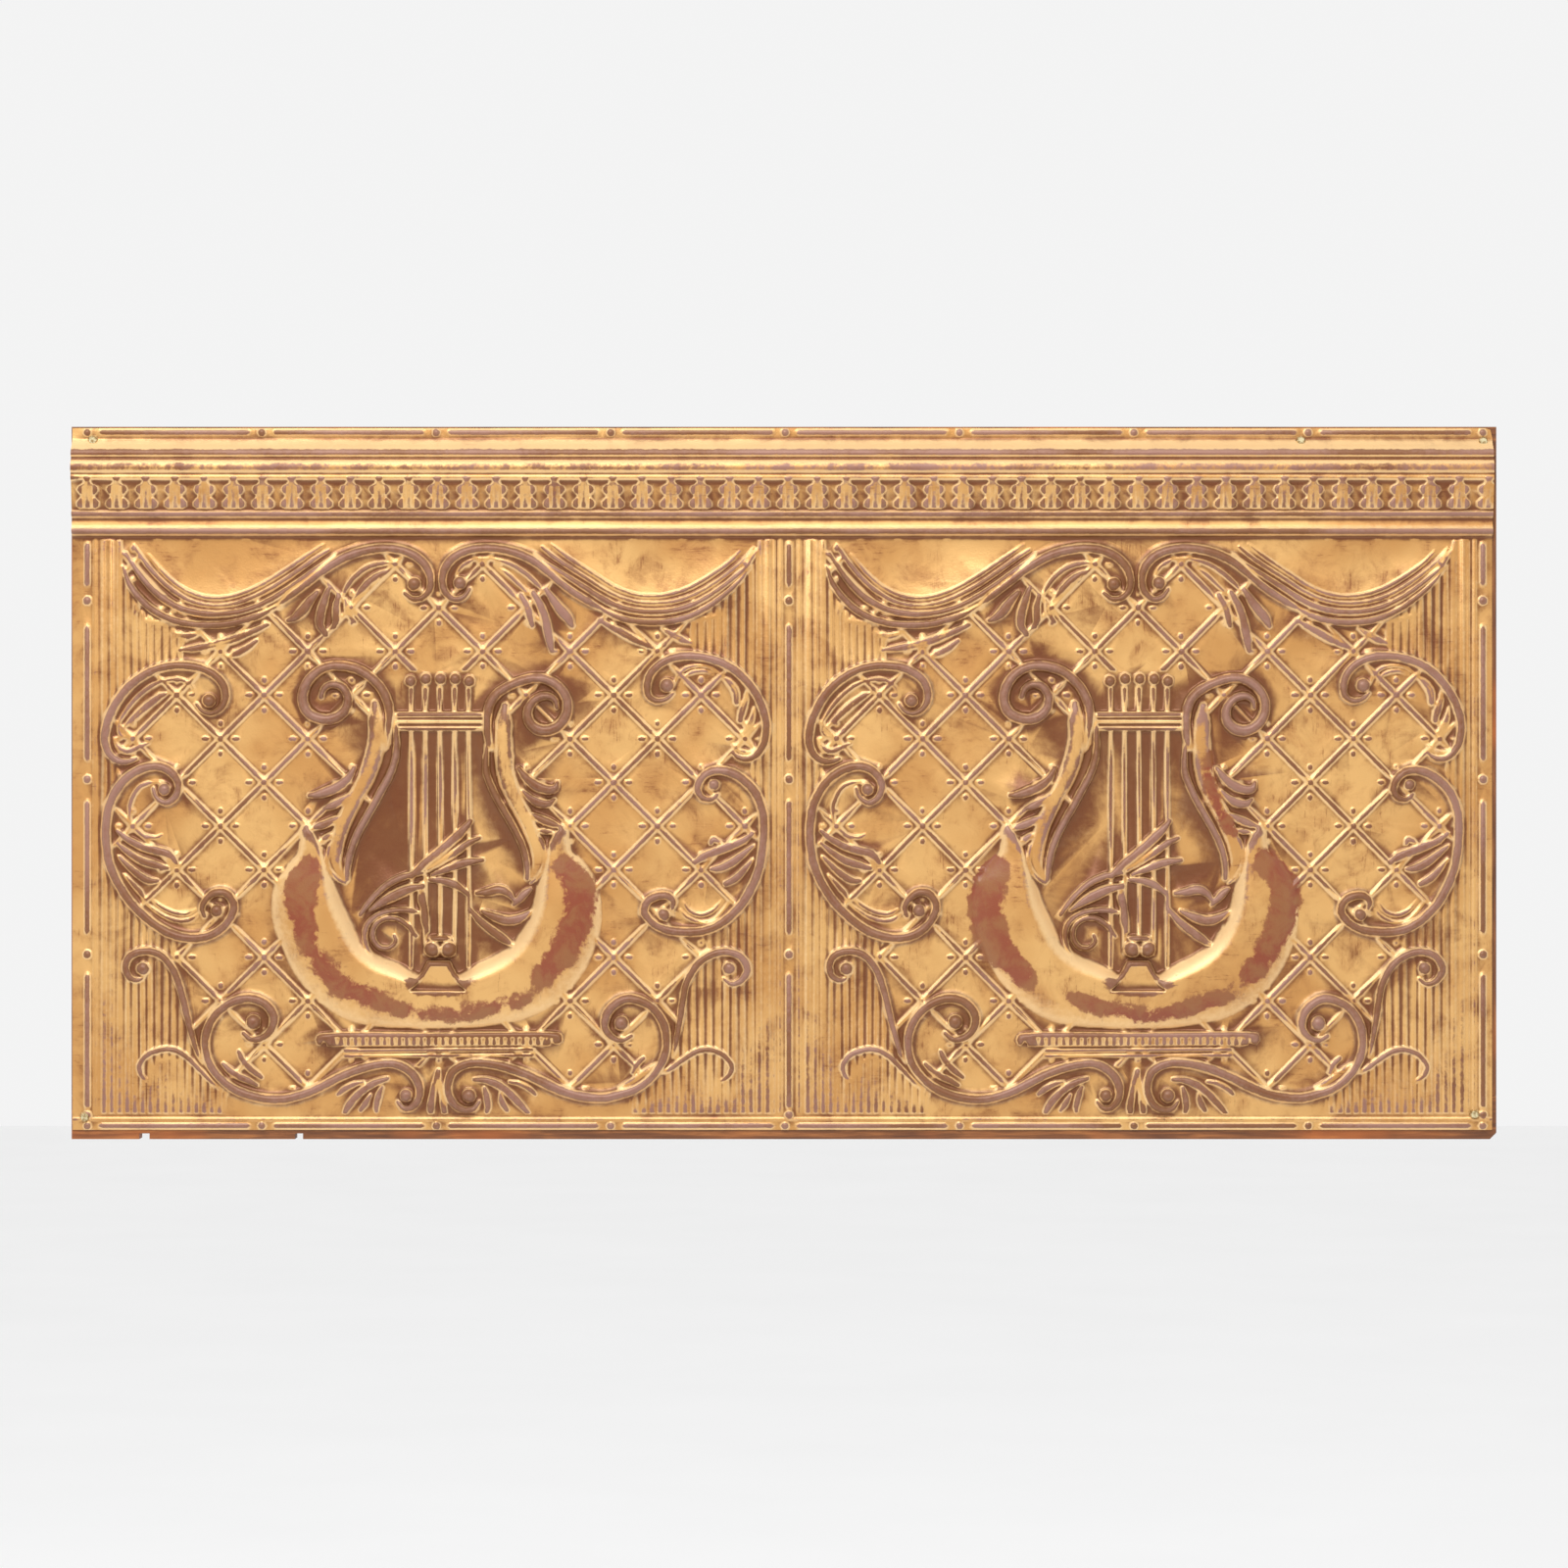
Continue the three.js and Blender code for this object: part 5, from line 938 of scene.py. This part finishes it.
class Wire:
    """A socket's output, on which Python's operators add Math nodes."""

    def __init__(self, finish, socket):
        self.finish = finish
        self.socket = socket

    def math(self, operation, *values):
        return self.finish.node("ShaderNodeMath", {"operation": operation}, dict(enumerate(values)))

    def __add__(self, other):
        return self.math("ADD", self, other)

    __radd__ = __add__

    def __sub__(self, other):
        return self.math("SUBTRACT", self, other)

    def __rsub__(self, other):
        return self.math("SUBTRACT", other, self)

    def __mul__(self, other):
        return self.math("MULTIPLY", self, other)

    __rmul__ = __mul__

    def __truediv__(self, other):
        return self.math("DIVIDE", self, other)

    def step(self, low, high):
        """0 below low, 1 above high, and smooth between."""
        return self.finish.node("ShaderNodeMapRange", {"interpolation_type": "SMOOTHSTEP"},
                                {"Value": self, "From Min": low, "From Max": high})


class Finish:
    """A material, with one method that adds any node."""

    def __init__(self, name):
        self.material = bpy.data.materials.new(name)
        self.material.use_nodes = True
        self.tree = self.material.node_tree
        self.tree.nodes.clear()

    def node(self, kind, settings=None, inputs=None, output=0):
        made = self.tree.nodes.new(kind)
        for key, value in (settings or {}).items():
            if key == "stops":
                ramp = made.color_ramp
                while len(ramp.elements) < len(value):
                    ramp.elements.new(0.5)
                for element, (position, colour) in zip(ramp.elements, value):
                    element.position = position
                    element.color = colour
            else:
                setattr(made, key, value)
        for key, value in (inputs or {}).items():
            if isinstance(value, Wire):
                self.tree.links.new(value.socket, made.inputs[key])
            else:
                made.inputs[key].default_value = value
        return Wire(self, made.outputs[output])

    def mix(self, factor, first, second):
        return self.node("ShaderNodeMix", {"data_type": "RGBA"}, {0: factor, 6: first, 7: second}, 2)

    def mask(self, name):
        return self.node("ShaderNodeAttribute", {"attribute_name": name}, output="Fac")

    def place(self, stretch=(1, 1, 1), turn=0.0):
        """The piece's own coordinates, stretched and turned about Y."""
        here = self.node("ShaderNodeTexCoord", output="Object")
        if stretch == (1, 1, 1) and not turn:
            return here
        return self.node("ShaderNodeMapping", inputs={"Vector": here, "Rotation": (0, turn, 0), "Scale": stretch})

    def noise(self, size, detail=4.0, roughness=0.55, stretch=(1, 1, 1), turn=0.0, warp=0.0):
        """Noise with blotches of about size, in millimetres."""
        return self.node("ShaderNodeTexNoise", inputs={
            "Vector": self.place(stretch, turn), "Scale": 1 / (size * MM), "Detail": detail,
            "Roughness": roughness, "Distortion": warp})

    def finished(self, colour, roughness, metallic, bump=None, coat=0.0):
        inputs = {"Base Color": colour, "Roughness": roughness, "Metallic": metallic, "Coat Weight": coat,
                  "Coat Roughness": 0.25}
        if bump is not None:
            height, depth = bump
            inputs["Normal"] = self.node("ShaderNodeBump", inputs={"Height": height, "Strength": 1.0,
                                                                   "Distance": depth * MM})
        shader = self.node("ShaderNodeBsdfPrincipled", inputs=inputs)
        self.node("ShaderNodeOutputMaterial", inputs={"Surface": shader}) if False else None
        out = self.tree.nodes.new("ShaderNodeOutputMaterial")
        self.tree.links.new(shader.socket, out.inputs["Surface"])
        return self.material


# Worn gilt, with a cream painted highlight on the slopes and painted shade in the hollows
def gilt_finish():
    f = Finish("worn_gilt_with_painted_light")
    broad = f.noise(110, 3)
    cloudy = f.noise(26, 6, 0.65, warp=0.4)
    fine = f.noise(4.5, 5, 0.6)
    grit = f.noise(1.6, 3, 0.6)
    stroke_up = f.noise(22, 5, 0.7, (9, 1, 1), 0.5)
    stroke_across = f.noise(22, 5, 0.7, (1, 1, 9), 0.35)
    crest, hollow = f.mask("crest"), f.mask("hollow")
    slope, rubbed = f.mask("slope"), f.mask("rubbed")
    gold = f.mix(broad.step(0.35, 0.65), LIGHT_GOLD, GOLD)
    gold = f.mix(cloudy.step(0.42, 0.7) * 0.55, gold, TAN)
    strokes = f.mix(broad.step(0.45, 0.55), stroke_up, stroke_across)
    smudge = (f.node("ShaderNodeSeparateColor", inputs={0: strokes}) * 0.55 + cloudy * 0.45 + (fine - 0.5) * 0.12)
    gold = f.mix(smudge.step(0.54, 0.66) * 0.75, gold, BROWN)
    # Cream painted highlight on the slopes of the relief
    gold = f.mix((slope - 0.25 + (fine - 0.5) * 0.5).step(0.0, 0.6) * 0.75, gold, HIGHLIGHT_CREAM)
    # Dark brown in the hollows: antique glaze, and painted shade at the feet of the ribs
    gold = f.mix((hollow + (cloudy - 0.5) * 0.9).step(0.3, 0.95) * 0.9, gold, DARK_BROWN)
    on_crest = (crest + (fine - 0.5) * 0.55 + (cloudy - 0.5) * 0.6).step(0.3, 0.55)
    crest_colour = f.mix((broad + fine * 0.3).step(0.5, 0.8), DARK_BROWN, MAUVE)
    gold = f.mix(on_crest * 0.88, gold, crest_colour)
    bare = (rubbed + (cloudy - 0.5) * 1.3 + (fine - 0.5) * 0.5).step(0.42, 0.62)
    primer = f.mix(cloudy.step(0.4, 0.62), PRIMER_RED, BROWN)
    colour = f.mix(bare * 0.92, gold, primer)
    painted = 1 - on_crest * 0.6
    metallic = (1 - bare) * painted * 0.45
    roughness = 0.4 + (fine - 0.5) * 0.25 + on_crest * 0.08
    return f.finished(colour, roughness, metallic, bump=(grit * 0.5 + cloudy * 0.5, 0.35), coat=0.15)


def back_finish():
    f = Finish("bare_tin_back")
    cloudy = f.noise(40, 6, 0.6)
    rust = f.noise(14, 6, 0.7)
    colour = f.mix(cloudy.step(0.3, 0.7), paint(120, 112, 104), paint(86, 78, 72))
    colour = f.mix(rust.step(0.55, 0.68), colour, paint(110, 62, 34))
    return f.finished(colour, 0.45 + rust * 0.3, 0.7, bump=(rust, 0.2))


def wood_finish(name, upright):
    f = Finish(name)
    stretch = (14, 14, 1) if upright else (1, 14, 14)
    grain = f.noise(70, 6, 0.6, stretch, warp=0.3)
    cloudy = f.noise(160, 3)
    fibre = f.noise(20, 4, 0.6, tuple(3 * s for s in stretch))
    colour = f.node("ShaderNodeValToRGB", {"stops": [(0.25, paint(62, 28, 8)), (0.5, paint(116, 66, 28)),
                                                      (0.72, paint(176, 110, 54))]}, {"Fac": grain})
    colour = f.mix(cloudy.step(0.5, 0.7) * 0.6, colour, paint(196, 104, 36))
    return f.finished(colour, 0.6 + (fibre - 0.5) * 0.2, 0.0, bump=(grain * 0.6 + fibre * 0.4, 0.5), coat=0.05)


def screw_finish():
    f = Finish("screw_steel")
    cloudy = f.noise(3, 4)
    colour = f.mix(cloudy.step(0.35, 0.65), paint(224, 212, 170), paint(150, 120, 72))
    return f.finished(colour, 0.35 + cloudy * 0.2, 0.75, bump=(cloudy, 0.1))


# Stage, light and camera

def make_stage():
    mesh = bpy.data.meshes.new("floor")
    half = 12.0
    drop = -1.5
    mesh.from_pydata([(-half, -half, drop), (half, -half, drop), (half, half, drop), (-half, half, drop)], [], [(0, 1, 2, 3)])
    floor = bpy.data.objects.new("floor", mesh)
    bpy.context.scene.collection.objects.link(floor)
    f = Finish("pale_floor")
    tone = f.noise(400, 2)
    mesh.materials.append(f.finished(f.mix(tone, paint(250, 250, 250), paint(246, 246, 246)), 0.8, 0.0))


def soft_light(name, place, aim, size, power):
    data = bpy.data.lights.new(name, "AREA")
    data.shape = "RECTANGLE"
    data.size, data.size_y = size
    data.energy = power
    lamp = bpy.data.objects.new(name, data)
    lamp.location = place
    lamp.rotation_euler = (Vector(aim) - Vector(place)).to_track_quat("-Z", "Y").to_euler()
    bpy.context.scene.collection.objects.link(lamp)


def make_light_and_camera():
    scene = bpy.context.scene
    middle = Vector((0, SHEET_LOW.y, (IMAGE_WIDTH / 2 - 755.5) * 0))
    world = bpy.data.worlds.new("studio")
    world.use_nodes = True
    world.node_tree.nodes["Background"].inputs["Color"].default_value = (1, 1, 1, 1)
    world.node_tree.nodes["Background"].inputs["Strength"].default_value = 0.9
    scene.world = world
    centre_height = 37.91 * MM - DRAWING_DROP * MM
    soft_light("key", (-0.5, -1.9, 1.7), (0, 0, centre_height), (2.4, 1.2), 60)
    data = bpy.data.cameras.new("camera")
    data.sensor_width = SENSOR
    data.lens = SENSOR * CAMERA_DISTANCE / (IMAGE_WIDTH * MM_PER_PIXEL * MM)
    camera = bpy.data.objects.new("camera", data)
    camera.location = (0, -CAMERA_DISTANCE - GROUND * MM, centre_height)
    camera.rotation_euler = (math.pi / 2, 0, 0)
    scene.collection.objects.link(camera)
    scene.camera = camera
    scene.view_settings.view_transform = "Standard"


make_light_and_camera()
make_stage()

sheet = pressed_sheet()
tin = tin_shell(sheet, wear_and_painted_light_masks(sheet))
tin.data.materials.append(gilt_finish())
tin.data.materials.append(back_finish())
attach(tin, "root")
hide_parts("tin_sheet")

steel = screw_finish()
level_wood = wood_finish("wood_level", False)
upright_wood = wood_finish("wood_upright", True)
for name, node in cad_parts.items():
    if name == "tin_sheet":
        continue
    finish = steel if name.startswith("screw") else upright_wood if name.endswith("stile") else level_wood
    node.data.materials.clear()
    node.data.materials.append(finish)
